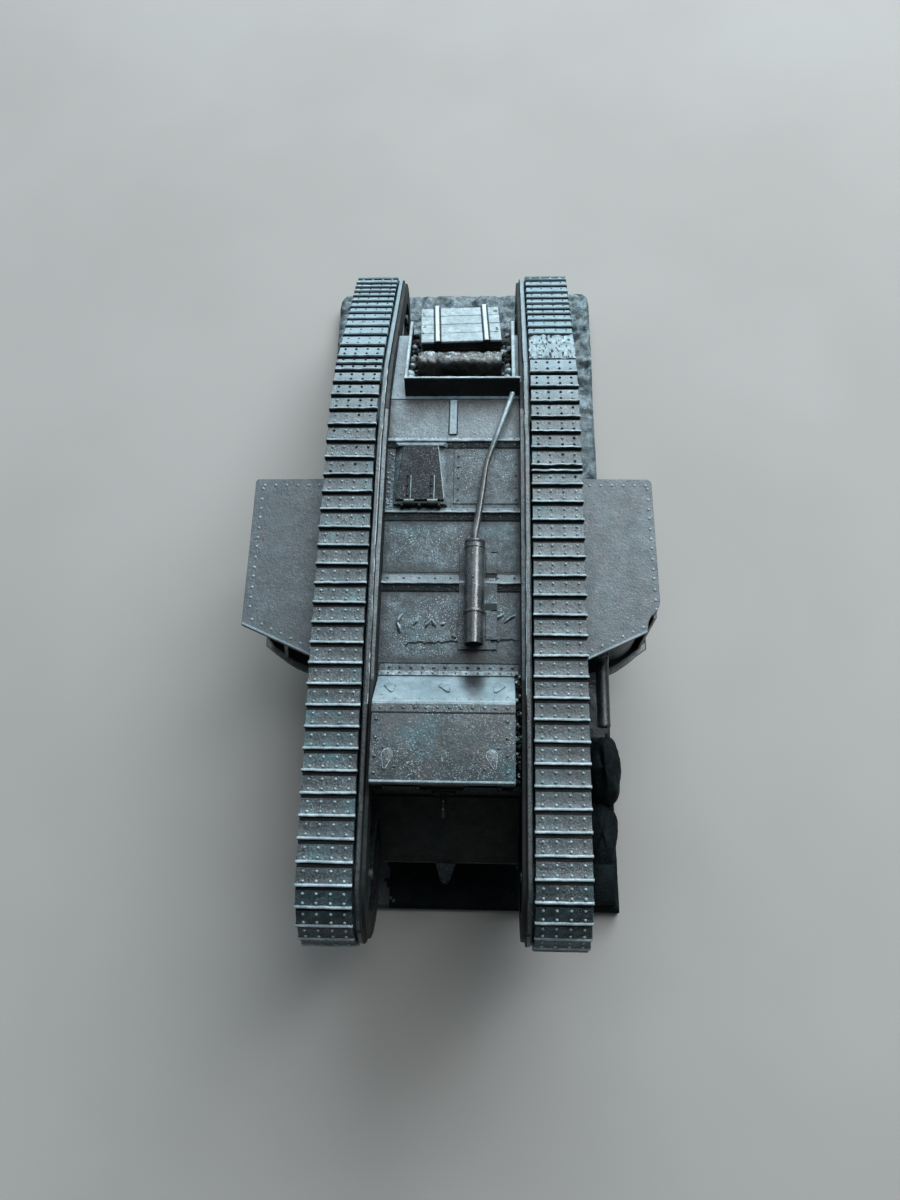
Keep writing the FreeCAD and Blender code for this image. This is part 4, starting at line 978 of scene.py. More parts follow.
def cab():
    top = Piece("cab_top", CAB, HIGHLIGHT_AND_WEAR)
    back_edge = 58.6
    profile = [(39.2, 69.0), (39.2, 69.45), (39.4, 69.85), (39.85, 70.0), (back_edge, 70.0),
               (back_edge, 69.0)]
    top.prism(profile, CAB_LEFT, CAB_RIGHT, side, 0.2)
    # A painted highlight along the roof's front lip.
    top.box((CAB_LEFT + 0.15, CAB_RIGHT - 0.15), (39.55, 40.2), (69.8, 70.22), plan, 0.16, 1)
    for backs, out in (((55.7, 50.9, 46.2, 41.9), -18.0), ((55.4, 51.0, 46.6, 42.3), 15.7)):
        for back in backs:
            top.rivet(V(out, back, CAB_TOP), radius=0.52, height=0.38)
    for out, back in ((-16.0, 48.4), (13.5, 48.5), (-12.9, 43.6), (10.0, 43.2)):
        top.rivet(V(out, back, CAB_TOP), radius=0.42, height=0.34)
    top.finish("cab_roof")

    # The rear slope is painted pale as painted window light, with a painted highlight where the
    # rivet strip meets it and a line of painted shade in front of the strip.
    slope = Piece("cab_slope", LIT_SLOPE, CAB, HIGHLIGHT_AND_WEAR, PAINTED_SHADE)
    profile = [(57.6, 70.0), (57.6, 70.10), (57.75, 70.14), (59.9, 70.16), (60.4, 70.12),
               (60.75, 69.95), (69.83, 59.5), (68.46, 59.5), (59.75, 69.0), (58.6, 69.0),
               (58.6, 70.0)]
    slope.prism(profile, CAB_LEFT, CAB_RIGHT, side, 0.12)
    slope.box((CAB_LEFT + 0.1, CAB_RIGHT - 0.1), (57.65, 59.75), (69.9, 70.20), plan, 0.06, 1)
    rivet_row(slope, (-17.1, 58.75, 70.12), (15.7, 58.75, 70.12), 12, radius=0.52, height=0.26,
              number=1)
    slope.box((CAB_LEFT + 0.1, CAB_RIGHT - 0.1), (57.25, 57.7), (69.9, 70.03), plan, 0.01, 3)
    slope.box((CAB_LEFT + 0.1, CAB_RIGHT - 0.1), (59.75, 60.1), (69.9, 70.19), plan, 0.01, 2)
    for out, down in ((CAB_LEFT + 2.2, 3.4), (CAB_LEFT + 2.6, 11.8), (CAB_RIGHT - 2.0, 2.6),
                      (CAB_RIGHT - 2.2, 11.2)):
        slope.rivet(on_slope(out, down), SLOPE_OUT, 0.26, 0.18)
    rivet_row(slope, on_slope(-16.5, 1.3), on_slope(15.4, 1.3), 11, SLOPE_OUT, 0.2, 0.1)
    slope.finish("cab_rear_plate", slot="pale_plate")

    covers = Piece("ports", LIT_SLOPE, CAB, GUTTER_SHADE, STRIP)

    def cover(place, u, v, n, outline, number):
        """A cover on a plate whose directions are u, v and n, with a rim painted as a highlight and
        a groove painted as shade.
        """
        def raised(steps, number, caps=True):
            covers.skin([[place + u * a + v * b + n * up for a, b in ring] for ring, up in steps],
                        number, caps)

        raised(((outline, -0.02), (outline, 0.26), (inset(outline, 0.16), 0.34)), number)
        raised(((outline, 0.25), (inset(outline, 0.05), 0.37), (inset(outline, 0.22), 0.36)), 3,
               False)
        groove = inset(outline, -0.40)
        raised(((groove, 0.03), (inset(outline, -0.02), 0.03)), 2, False)

    for out, lean in ((-15.4, -0.20), (-0.9, -0.32), (13.8, 0.30)):
        u = V(cos(lean), 0, 0) - SLOPE_RUN * sin(lean)
        v = SLOPE_RUN * cos(lean) + V(sin(lean), 0, 0)
        cover(on_slope(out, 8.6), u, v, SLOPE_OUT, teardrop(4.1), 0)
    for out, lean in ((-14.75, -0.18), (11.75, 0.25)):
        u = V(cos(lean), sin(lean), 0)
        v = V(-sin(lean), cos(lean), 0)
        place = V(out, 46.6, CAB_TOP)
        cover(place, u, v, UP, teardrop(3.7), 1)
        covers.rivet(place - v * 2.9 + V(0, 0, 0.10), radius=0.4, height=0.28, number=1)
    covers.finish("port_covers", slot="pale_plate")

    walls = Piece("cab_walls", CAB)
    for low in (CAB_LEFT, CAB_RIGHT - 1.0):
        outline = [(40.6, 59.5), (68.4, 59.5), (59.7, 69.0), (40.6, 69.0)]
        walls.prism(outline, low, low + 1.0, side, 0.12)
        face = low if low < 0 else low + 1.0
        for k in range(6):
            walls.rivet(V(face, 42.6 + 4.2 * k, 61.2), V(copysign(1, low), 0, 0))
    walls.finish("cab_sides")

    # The cab's front face is painted shade.
    face = Piece("cab_face", PAINTED_SHADE)
    for a, b in (((-HALF_HULL, HALF_HULL), (46.8, 54.08)), ((-HALF_HULL, -2.78), (54.08, 57.88)),
                 ((0.98, HALF_HULL), (54.08, 57.88)), ((-HALF_HULL, HALF_HULL), (57.88, 59.5)),
                 ((CAB_LEFT, CAB_RIGHT), (59.5, 63.6)), ((CAB_LEFT, -13.2), (63.6, 64.4)),
                 ((-9.2, 7.6), (63.6, 64.4)), ((11.6, CAB_RIGHT), (63.6, 64.4)),
                 ((CAB_LEFT, CAB_RIGHT), (64.4, 69.0))):
        face.box(a, b, (39.6, 40.6), front, 0.02)
    face.box((-19.4, 19.4), (46.8, 48.1), (38.7, 39.6), front, 0.15)
    face.box((-18.9, 17.6), (61.3, 62.3), (38.9, 39.6), front, 0.15)
    rivet_row(face, (-18, 38.7, 47.5), (18, 38.7, 47.5), 13, AHEAD)
    rivet_row(face, (-17.8, 38.9, 61.8), (16.6, 38.9, 61.8), 12, AHEAD)
    face.finish("cab_front_plate")


cab()


def crumbs():
    """Pale crumbs of filler left in the gap between the cab's right side and the track frame."""
    piece = Piece("cab_gap_crumbs", CRATE, PAINTED_SHADE)
    for k in range(120):
        at = V(scatter(17.9, 19.4), scatter(41.0, 70.0), scatter(59.6, 63.6))
        piece.rivet(at, V(scatter(-0.5, 0.5), scatter(-0.5, 0.5), 1), scatter(0.2, 0.6),
                    scatter(0.2, 0.7), min(1, k % 3))
    piece.finish()


crumbs()


def front_gun():
    ring = Piece("gun_ring", PAINTED_SHADE)
    middle = V(-0.9, 39.6, 56.0)
    ring.lathe(middle, AHEAD, [(0, 3.2), (0.7, 3.2), (1.0, 2.9), (1.0, 2.15), (0.8, 1.9), (0, 1.9)],
               0, 32, False)
    for k in range(6):
        angle = tau * (k + 0.5) / 6
        ring.rivet(middle + V(2.55 * cos(angle), -0.98, 2.55 * sin(angle)), AHEAD, 0.24, 0.2)
    ring.finish("cab_gun_socket", slot="gun_grey")
    gun = Piece("front_gun", PAINTED_SHADE, HIGHLIGHT_AND_WEAR)
    ball = V(-0.9, 40.1, 56.0)
    gun.lathe(ball, AHEAD,
              [(-1.78 * cos(a), 1.8 * sin(a)) for a in [0.12 * k for k in range(1, 20)]], 0, 24)
    gun.lathe(ball, AHEAD, [(1.2, 0.95), (1.7, 0.95), (1.9, 0.74), (7.2, 0.74), (7.3, 0.6),
                            (7.6, 0.6), (7.6, 0.34), (6.2, 0.3)], 0, 20)
    # Two small painted highlights on the gun's barrel.
    for distance in (3.4, 5.4):
        gun.rivet(ball + AHEAD * distance + V(0, 0, 0.70), radius=0.22, height=0.10, number=1)
    gun.finish("cab_gun", body="cab_gun", slot="gun_grey")


def visors():
    hinges = Piece("visor_pins", PAINTED_SHADE)
    for name, middle in (("left", -11.2), ("right", 9.6)):
        flap = Piece("visor_flap_" + name, PAINTED_SHADE)
        flap.box((middle - 3.7, middle + 3.7), (61.7, 66.9), (38.4, 39.1), front, 0.15)
        flap.lathe(V(middle - 3.7, 38.75, 67.2), RIGHT,
                   [(0, 0.5), (0.1, 0.65), (7.3, 0.65), (7.4, 0.5)], 0, 16)
        for out in (middle - 2.6, middle + 2.6):
            for up in (62.8, 65.4):
                flap.rivet(V(out, 38.4, up), AHEAD, 0.3, 0.16)
        flap.box((middle - 1.2, middle + 1.2), (63.7, 64.2), (38.25, 38.5), front, 0.08)
        flap.finish("visor_" + name, body="visor_" + name)
        for low in (middle - 4.7, middle + 3.9):
            hinges.box((low, low + 0.8), (66.6, 67.8), (38.25, 39.6), front, 0.15)
        hinges.lathe(V(middle - 4.85, 38.75, 67.2), RIGHT,
                     [(0, 0.2), (0.1, 0.3), (9.6, 0.3), (9.7, 0.2)], 0, 12)
    hinges.finish("visor_hinges", slot="gun_grey")


front_gun()
visors()

# ---- hatch, silencer and exhaust


def hatch():
    coaming = Piece("hatch_frame", HULL, DECK)
    low = [(-17.5, 120.55), (-1.4, 120.55), (-1.9, 140.1), (-17.2, 140.1)]
    high = [(-16.9, 120.7), (-2.1, 120.7), (-4.3, 139.3), (-14.9, 139.3)]
    inner = inset(high, 1.4)
    rings = []
    for outline, up in ((low, ROOF + 0.01), (high, ROOF + 1.25), (inset(high, 0.12), ROOF + 1.3),
                        (inner, ROOF + 1.3), (inner, ROOF + 0.01)):
        rings.append([V(a, b, up) for a, b in outline])
    coaming.skin(rings, 0, False)
    coaming.prism([(-17.3, 139.4), (-1.9, 139.4), (-1.7, 140.6), (-17.5, 140.6)], ROOF, ROOF + 1.75,
                  plan, 0.2, 1, [(-16.4, 139.3), (-3.0, 139.3), (-2.1, 140.4), (-17.1, 140.4)])
    coaming.finish("hatch_coaming")

    lid = Piece("hatch_leaf", LID, HIGHLIGHT_AND_WEAR, PAINTED_SHADE)
    outline = [(-16.6, 121.6), (-2.4, 121.6), (-4.45, 139.1), (-14.75, 139.1)]
    lid.prism(outline, 60.9, 61.68, plan, 0.15)
    # The lid's right edge, one edge of each strap and the strap ends are painted highlights; the
    # hinge knuckles are painted shade.
    lid.prism([(-2.55, 121.8), (-2.3, 121.8), (-4.35, 139.0), (-4.6, 139.0)], 61.55, 61.85, plan,
              0.06, 1)
    for out in (-12.6, -5.8):
        lid.box((out - 0.62, out + 0.62), (121.0, 129.2), (61.55, 61.95), plan, 0.12)
        lid.box((out + 0.35, out + 0.62), (121.6, 129.3), (61.8, 62.12), plan, 0.08, 1)
        lid.box((out - 1.5, out + 1.5), (121.1, 121.7), (61.5, 62.05), plan, 0.15, 1)
        lid.lathe(V(out - 1.25, 120.45, 61.75), RIGHT,
                  [(0, 0.6), (0.15, 0.78), (2.35, 0.78), (2.5, 0.6)], 2, 18)
        for back in (122.9, 126.0, 129.0):
            lid.rivet(V(out - 0.35, back, 61.92), radius=0.42, height=0.34)
    lid.finish("hatch_lid", body="hatch_lid")

    hinge = Piece("hatch_pin", PAINTED_SHADE)
    hinge.lathe(V(-15.0, 120.45, 61.75), RIGHT, [(0, 0.3), (0.1, 0.4), (11.5, 0.4), (11.6, 0.3)], 0,
                14)
    for low in (-15.0, -9.9, -4.2):
        hinge.box((low, low + 0.8), (119.4, 120.55), (59.5, 62.3), plan, 0.15)
    hinge.finish("hatch_hinge", slot="gun_grey")


def silencer():
    up = 63.35
    body = Piece("silencer_drum", SILENCER)
    body.lathe(V(6.7, 86.4, up), BACK, [(0, 2.9), (0.05, 3.02), (0.35, 3.08), (0.75, 3.04),
                                        (1.0, 2.9), (1.05, 2.85), (18.9, 2.85), (19.0, 2.7)], 0, 44)
    body.rivet(V(6.3, 96.3, up + 2.83), radius=0.42, height=0.3)
    body.finish("silencer_body", slot="silencer_plastic")
    cap = Piece("silencer_end", SILENCER)
    cap.lathe(V(6.7, 105.4, up), BACK, [(0, 2.7), (0.1, 3.0), (1.0, 3.0), (1.15, 2.85), (1.5, 2.85),
                                        (1.7, 2.98), (2.35, 2.95), (2.6, 2.6), (2.6, 1.5),
                                        (2.5, 1.2)], 0, 44)
    cap.finish("silencer_cap", slot="silencer_plastic")
    tail = Piece("tail_pipe", SILENCER, PAINTED_SHADE)
    tail.lathe(V(6.7, 86.4, up), -BACK, [(0, 2.7), (8.5, 2.7), (8.6, 2.6), (8.6, 2.2)], 0, 44,
               False)
    tail.lathe(V(6.7, 77.82, up), BACK, [(0, 2.22), (0.15, 2.1), (5.0, 2.05), (5.0, 0.1)], 1, 44,
               False)
    tail.finish("silencer_tailpipe", slot="silencer_plastic")

    plate = Piece("silencer_mounting", HULL, PAINTED_SHADE, TUBE)
    outline = [(2.3, 77.3), (13.0, 77.3), (13.0, 79.2), (11.3, 79.2), (11.3, 88.6), (13.0, 88.6),
               (13.0, 99.0), (11.3, 99.0), (11.3, 106.0), (13.0, 106.0), (13.0, 108.2),
               (2.3, 108.2)]
    plate.prism(outline, 59.85, 60.2, plan, 0.07)
    for backs in ((99.4, 105.6), (80.0, 88.2)):
        plate.box((9.8, 13.0), backs, (60.1, 60.55), plan, 0.1)
    # Dark notches beside the plate's tabs are painted shade.
    for backs in ((98.2, 99.3), (88.6, 90.6)):
        plate.box((9.6, 12.9), backs, (60.12, 60.24), plan, 0.03, 1)
    for back in (88.6, 101.5):
        saddle = [(5.2, 60.2), (8.2, 60.2), (8.2, 60.9), (7.7, 60.68), (7.0, 60.52), (6.4, 60.52),
                  (5.7, 60.68), (5.2, 60.9)]
        plate.prism(saddle, back, back + 2.2, front, 0.03, 2)
    plate.finish("silencer_plate", slot="silencer_plastic")

    pipe = Piece("exhaust", SILENCER)
    route = [(6.7, 108.0, 63.35), (6.7, 110.5, 63.35), (7.3, 114.5, 62.9), (8.6, 124.0, 62.2),
             (9.9, 133.5, 61.7), (13.0, 143.5, 61.2), (16.4, 154.5, 59.9), (17.4, 158.0, 59.6)]
    path, radii = [], []
    for index in range(len(route) - 1):
        a, b = Vector(route[index]), Vector(route[index + 1])
        c = Vector(route[max(0, index - 1)])
        d = Vector(route[min(len(route) - 1, index + 2)])
        for k in range(8):
            t = k / 8
            path.append(0.5 * (2 * a + (b - c) * t + (2 * c - 5 * a + 4 * b - d) * t * t
                               + (3 * a - c - 3 * b + d) * t ** 3))
            whole = (index + t) / (len(route) - 1)
            radii.append(0.80 + 0.22 * sin(pi * min(1.0, 0.25 + whole)) ** 2
                         + 0.03 * sin(9 * whole))
    path.append(Vector(route[-1]))
    radii.append(0.76)
    pipe.tube(path, radii, 0, 20)
    pipe.finish("exhaust_pipe", slot="gun_grey")


hatch()
silencer()

# ---- stowage

CRATE_TURN = radians(3.1)
CRATE_LEFT, CRATE_ALONG = -10.7, 16.3
TRAY_FLOOR = 0.5
LID_FOOT = 7.6


def in_crate(a, b, h):
    """A place on the crate, which sits a little skewed in the tray, from its front left foot."""
    out = CRATE_LEFT + a * cos(CRATE_TURN) - b * sin(CRATE_TURN)
    along = CRATE_ALONG + a * sin(CRATE_TURN) + b * cos(CRATE_TURN)
    return on_deck(out, along, TRAY_FLOOR + h)


def tray():
    # The tray is painted shade, with painted highlights along the tops of its rims; some crumbs are
    # pale and some dark.
    piece = Piece("tray", PAINTED_SHADE, HIGHLIGHT_AND_WEAR)
    piece.box((-15.3, 18.4), (0.0, 35.0), (0.0, 0.5), on_deck, 0.1)
    piece.box((-15.3, 19.6), (0.0, 0.8), (0.2, 6.3), on_deck, 0.12)
    rim = []
    for first, side_b in ((True, 0.16), (False, 0.92)):
        for k in range(36):
            share = k / 35 if first else 1 - k / 35
            wobble = 0.22 * ripple(share * 14, 3.0, side_b)
            rim.append((-15.3 + 34.9 * share, side_b + wobble))
    piece.prism(rim, 6.1, 6.5, on_deck, 0.05, 1)
    for low, high in ((-15.3, -14.5), (17.2, 18.1)):
        piece.box((low, high), (0.8, 33.0), (0.3, 6.0), on_deck, 0.1)
        piece.box((low - 0.1, high + 0.1), (0.8, 33.0), (5.7, 6.4), on_deck, 0.2, 1)
    for k in range(110):
        left = k % 2 == 0
        out = scatter(-14.3, -12.2) if left else scatter(14.2, 17.0)
        along = scatter(1.2, 31)
        size = scatter(0.35, 1.1)
        piece.rivet(on_deck(out, along, scatter(0.4, 2.6)),
                    V(scatter(-0.6, 0.6), scatter(-0.3, 0.8), 1), size, size * scatter(0.5, 1.2),
                    1 if k % 5 < 2 else 0)
    for out, along in ((-13.6, 2.4), (15.8, 2.6), (18.6, 1.8), (-14.0, 5.0), (16.2, 6.0)):
        piece.rivet(on_deck(out, along, 4.6), radius=scatter(1.2, 1.9), height=scatter(0.9, 1.6),
                    number=1)
    piece.finish("stowage_tray")


def crate():
    # The crate's body is painted shade.
    piece = Piece("crate_body", PAINTED_SHADE)
    for k in range(4):
        piece.box((0.0, 24.6), (0.0, 19.8), (1.9 * k, 1.9 * k + 1.86), in_crate, 0.12)
    piece.finish("crate", slot="stowage_grey")

    # The lid's pale paint is painted window light on its top.
    lid = Piece("crate_top", CRATE, LID_GAP)
    lid.box((0.0, 24.6), (0.0, 19.8), (LID_FOOT, LID_FOOT + 0.3), in_crate, 0.05, 1)
    edges = [-0.2, 4.8, 10.0, 15.0, 20.0]
    for low, high in zip(edges, edges[1:]):
        for left, right in ((-0.2, 3.85), (6.05, 19.1), (21.3, 24.8)):
            lid.box((left, right), (low + 0.07, high - 0.07),
                    (LID_FOOT, LID_FOOT + 0.8 + scatter(-0.06, 0.06)), in_crate, 0.16)
    for out, along in ((1.1, 8.6), (0.7, 5.4), (23.7, 17.0), (24.0, 6.4), (23.3, 4.6), (0.9, 16.4)):
        for k in range(3):
            at = in_crate(out + scatter(-0.4, 0.4), along + scatter(-0.6, 0.6), LID_FOOT + 0.84)
            lid.rivet(at, V(0, sin(TILT), cos(TILT)), scatter(0.2, 0.45), 0.12, 1)
    lid.finish("crate_lid", slot="stowage_grey")

    # Each band lies on a wider dark layer, its painted shadow; its front end and a block under its
    # back end are painted shade.
    straps = Piece("crate_bands", WHITE, PAINTED_SHADE)
    for middle in (4.95, 20.2):
        for half, along, low, high, bevel, number in (
                (1.05, (-0.2, 20.2), 0.3, 0.95, 0.05, 1), (0.62, (-0.6, 20.9), 0.9, 1.38, 0.2, 0),
                (0.62, (-0.7, -0.25), -1.7, 1.2, 0.12, 1),
                (0.7, (20.35, 20.95), -4.9, 1.3, 0.15, 0),
                (1.15, (19.9, 20.85), -5.0, 1.0, 0.15, 1)):
            straps.box((middle - half, middle + half), along, (LID_FOOT + low, LID_FOOT + high),
                       in_crate, bevel, number)
    straps.finish("crate_straps", slot="stowage_grey")


def tarpaulin():
    """The roll in front of the crate, pinched in two places and painted pale along its top as a
    highlight.
    """
    roll = Piece("tarpaulin", TARP, STRIP)
    axis_along, axis_up = 10.1, 4.6
    rings = []
    for k in range(73):
        share = k / 72
        out = -11.5 + 25.5 * share
        pinch = 1.0 - 0.07 * exp(-((out + 6.2) / 0.8) ** 2) - 0.07 * exp(-((out - 8.6) / 0.8) ** 2)
        if share < 0.02 or share > 0.98:
            pinch *= 0.93
        ring = []
        for j in range(48):
            angle = tau * j / 48
            square = 1 + 0.07 * cos(4 * angle)
            bump = 0.40 * ripple(out * 0.35, cos(angle) * 1.1, sin(angle) * 1.1)
            bump += 0.22 * ripple(out * 1.1, cos(angle) * 3, sin(angle) * 3 + 7)
            radius = min(4.15, 3.75 * pinch / square + bump)
            ring.append(on_deck(out, axis_along + radius * cos(angle),
                                axis_up + radius * sin(angle)))
        rings.append(ring)
    start = len(roll.faces)
    roll.skin(rings)
    middle_line = on_deck(0, axis_along, axis_up)
    for index in range(start, len(roll.faces)):
        corners = [roll.points[c] for c in roll.faces[index][:4]]
        middle = sum(corners, Vector()) / len(corners)
        outward = (middle.y - middle_line.y) * 0.5 + (middle.z - middle_line.z)
        if outward > 4.10 + 0.6 * noise.noise(middle * 0.45) + 0.6 * noise.noise(middle * 1.7):
            roll.numbers[index] = 1
    roll.finish("tarp_roll", slot="stowage_grey", sharp=80)


tray()
crate()
tarpaulin()

# ---- sponsons and gun

SPONSON_FLOOR, SPONSON_TOP = 22.0, 53.2
ROOF_FACE = SPONSON_TOP + 1
RIVET_ROWS = (24.8, 51.6)


def sponsons():
    for name, sign in (("left", -1), ("right", 1)):
        def sided(points):
            return [(sign * a, b) for a, b in points]

        top = Piece("sponson_top_" + name, SPONSON, LIT_SLOPE)
        outline = [(36.3, 132.0), (59.0, 131.8), (59.6, 131.1), (59.8, 85.7), (36.3, 75.3)]
        if sign > 0:
            outline = [(36.3, 132.0), (57.5, 131.9), (58.5, 131.0), (59.1, 94.2), (58.9, 92.6),
                       (58.0, 90.6), (56.4, 89.2), (55.6, 87.6), (55.3, 85.6), (55.2, 84.5),
                       (36.3, 75.4)]
        top.prism(sided(outline), SPONSON_TOP, ROOF_FACE, plan, 0.14)
        rivets = [(57.2 + 0.7 * k / 12, 128.6 - 37.4 * k / 12 - (0.3 if k % 3 else 0))
                  for k in range(13)]
        for k in range(6 if sign > 0 else 7):
            out = 39.5 + 2.9 * k
            rivets.append((out, 78.6 + (out - 39.5) * 0.48 + 0.4))
        rivets += [(40.3 + 3.3 * k, 129.8) for k in range(6)]
        # The roof rivets are painted pale as highlights.
        for out, back in rivets:
            top.rivet(V(sign * out, back, ROOF_FACE), radius=0.50, height=0.19, number=1)
        # The lip along the sponson roof's front is a painted highlight.
        lip_end = (55.2, 84.5) if sign > 0 else (59.7, 85.9)
        lip = [(36.5, 75.50), lip_end, (lip_end[0] - 0.25, lip_end[1] + 0.6), (36.5, 76.15)]
        top.prism(sided(lip), 53.9, 54.36, plan, 0.08, 1)
        top.finish("sponson_roof_" + name)

        # The sponson floor is painted shade, with a pale ledge strip.
        floor = Piece("sponson_base_" + name, PAINTED_SHADE, LEDGE)
        ledge = [(38.0, 78.05), (42.5, 78.6), (46.5, 79.6), (50.3, 81.4), (54.0, 84.0),
                 (57.0, 86.6), (59.9, 88.7)]
        if sign < 0:
            ledge = [(38.0, 78.05), (42.2, 78.8), (46.0, 79.9), (49.6, 81.3), (53.0, 83.4),
                     (56.6, 86.0), (59.9, 88.7)]
        floor.prism(sided([(36.3, 77.9)] + ledge + [(59.9, 131.0), (36.3, 131.0)]), SPONSON_FLOOR,
                    SPONSON_FLOOR + 1.1, plan, 0.15)
        strip = ledge[:-1] + [(59.6, 88.55), (59.6, 90.9)]
        strip += [(x, y + 2.2) for x, y in ledge[-2:0:-1]] + [(38.0, 80.2)]
        floor.prism(sided(strip), 23.0, 23.3, plan, 0.12, 1)
        for k in range(14):
            floor.rivet(V(sign * 58.8, 92.5 + 2.8 * k, 23.1), radius=0.34)
        floor.finish("sponson_floor_" + name)

        walls = Piece("sponson_shell_" + name, SPONSON, PAINTED_SHADE)
        bent = [(36.3, 131.0), (57.9, 131.0), (58.2, 130.7), (58.2, 89.3), (57.2, 88.6),
                (57.2, 130.0), (36.3, 130.0)]
        walls.prism(sided(bent), 23.2, SPONSON_TOP, plan, 0.06)
        lining = [(57.15, 88.7), (57.15, 129.95), (36.4, 129.95), (36.4, 129.8), (57.0, 129.8),
                  (57.0, 88.7)]
        walls.prism(sided(lining), 23.3, 53.1, plan, 0.02, 1)
        for up in RIVET_ROWS:
            for k in range(14):
                walls.rivet(V(sign * 58.2, 91.0 + 2.95 * k, up), V(sign, 0, 0), 0.38, 0.24)
            for k in range(8):
                walls.rivet(V(sign * (38.5 + 2.6 * k), 131.0, up), BACK, 0.38, 0.24)
        for k in range(9):
            for back in (90.6, 129.2):
                walls.rivet(V(sign * 58.2, back, 26.8 + 2.9 * k), V(sign, 0, 0), 0.38, 0.24)
        walls.finish("sponson_walls_" + name)

    post = Piece("sponson_post", LEDGE)
    foot, head = V(-52.9, 85.1, 23.2), V(-46.8, 81.4, SPONSON_TOP)
    corners = ((-0.5, -0.5), (0.5, -0.5), (0.5, 0.5), (-0.5, 0.5))
    post.skin([[end + V(x, y, 0) for x, y in corners] for end in (foot, head)])
    post.finish("sponson_mullion_left")


GUN_OUT, GUN_UP = 44.0, 39.0


def on_gun(back):
    return V(GUN_OUT, back, GUN_UP)


def side_gun():
    shield = Piece("gun_shield", SPONSON, LEDGE, PAINTED_SHADE)
    centre = V(47.2, 94.0, 0)
    outer, inner = 9.3, 8.5
    low, high = 23.4, 53.0
    first, last = radians(170.7), radians(369.3)

    def wall(a0, a1, u0, u1):
        count = max(1, ceil(degrees(a1 - a0) / 6))
        rings = []
        for k in range(count + 1):
            angle = a0 + (a1 - a0) * k / count
            rings.append([V(centre.x + radius * cos(angle), centre.y + radius * sin(angle), up)
                          for radius, up in ((inner, u0), (outer, u0), (outer, u1), (inner, u1))])
        shield.skin(rings)

    def angle_at(out):
        return tau - acos((out - centre.x) / outer)

    slot0, slot1 = angle_at(41.5), angle_at(46.5)
    sight0, sight1 = angle_at(49.4), angle_at(51.1)
    for stretch in ((first, slot0, low, high), (slot0, slot1, low, 33.6),
                    (slot0, slot1, 45.0, high), (slot1, sight0, low, high),
                    (sight0, sight1, low, 45.5), (sight0, sight1, 47.2, high),
                    (sight1, last, low, high)):
        wall(*stretch)
    for k in range(10):
        angle = first + (last - first) * (k + 0.5) / 10
        direction = V(cos(angle), sin(angle), 0)
        for up in RIVET_ROWS:
            shield.rivet(V(centre.x, centre.y, up) + direction * outer, direction, 0.34, 0.22)
    shield.lathe(V(centre.x, centre.y, 23.4), UP, [(0, 8.4), (0, 8.5), (0.9, 8.5), (1.0, 8.4)], 2,
                 48)
    shield.lathe(V(centre.x, centre.y, 22.0), UP, [(0, 0.9), (0.1, 1.0), (1.4, 1.0)], 2, 20)
    for low_x in (40.7, 46.5):
        shield.box((90.4, 93.6), (23.4, 40.6), (low_x, low_x + 0.8), side, 0.15, 2)
    shield.finish("gun_drum", body="gun_mount", slot="gun_grey")

    gun = Piece("gun_body", TUBE, LEDGE)
    gun.lathe(on_gun(96.5), AHEAD, [(0, 1.8), (0.2, 2.0), (6.0, 2.0), (6.4, 2.2), (14.0, 2.2),
                                    (14.6, 2.05), (16.6, 2.05), (16.9, 1.85)], 0, 32)
    for k in range(22):
        at = V(GUN_OUT + scatter(-1.6, 1.6), scatter(80.2, 86.0), GUN_UP)
        lump = sqrt(max(0.2, 2.2 ** 2 - (at.x - GUN_OUT) ** 2))
        gun.rivet(at + V(0, 0, lump - 0.15), radius=scatter(0.35, 0.75), height=scatter(0.2, 0.5),
                  number=k % 2)
    gun.box((42.1, 45.9), (95.5, 99.5), (36.9, 41.1), plan, 0.4)
    gun.lathe(V(40.2, 92.0, 39.0), RIGHT, [(0, 0.5), (0.1, 0.6), (7.5, 0.6), (7.6, 0.5)], 0, 16)
    gun.finish("side_gun", body="side_gun", slot="gun_grey")
    barrel = Piece("barrel_tube", BARREL, PAINTED_SHADE)
    barrel.lathe(on_gun(79.6), AHEAD, [(0, 1.92), (18.2, 1.88), (18.4, 1.95), (18.9, 1.90),
                                       (19.0, 1.7), (19.0, 0.9)], 0, 32, False)
    barrel.lathe(on_gun(60.6), BACK, [(0, 0.9), (0.1, 0.85), (8.0, 0.84), (8.0, 0.1)], 1, 24, False)
    barrel.finish("gun_barrel", body="side_gun", slot="gun_grey")


sponsons()
side_gun()

# ---- wheels

DISC, BORE, HOLES = 1.6, 3.3, 6
TEETH, ROOT, TIP = 14, 11.0, 12.28
TOOTH = ((-0.5, ROOT), (-0.27, ROOT), (-0.12, TIP), (0.12, TIP), (0.27, ROOT))


def wheel_disc(piece, foot, outline, hole_ring, hole_radius):
    """A bored disc with round lightening holes drawn as cups on each face."""
    piece.skin([[foot + V(x, b, u) for b, u in outline] for x in (0.0, DISC)], 0, False)
    bore_ring = circle(BORE, len(outline))
    for x in (0.0, DISC):
        piece.skin([[foot + V(x, b, u) for b, u in ring] for ring in (outline, bore_ring)], 0,
                   False)
    # The lightening holes are cups painted shade.
    cup = [(0, hole_radius), (0, hole_radius * 0.86), (0.2, hole_radius * 0.84)]
    for b, u in circle(hole_ring, HOLES):
        at = foot + V(0, b, u)
        for x, inward in ((-0.02, RIGHT), (DISC + 0.02, V(-1, 0, 0))):
            piece.lathe(at + V(x, 0, 0), inward, cup, 1, 20, False)
            piece.lathe(at + V(x, 0, 0), inward, [(-0.01, cup[2][1]), (0.0, 0.05)], 1, 20, False)


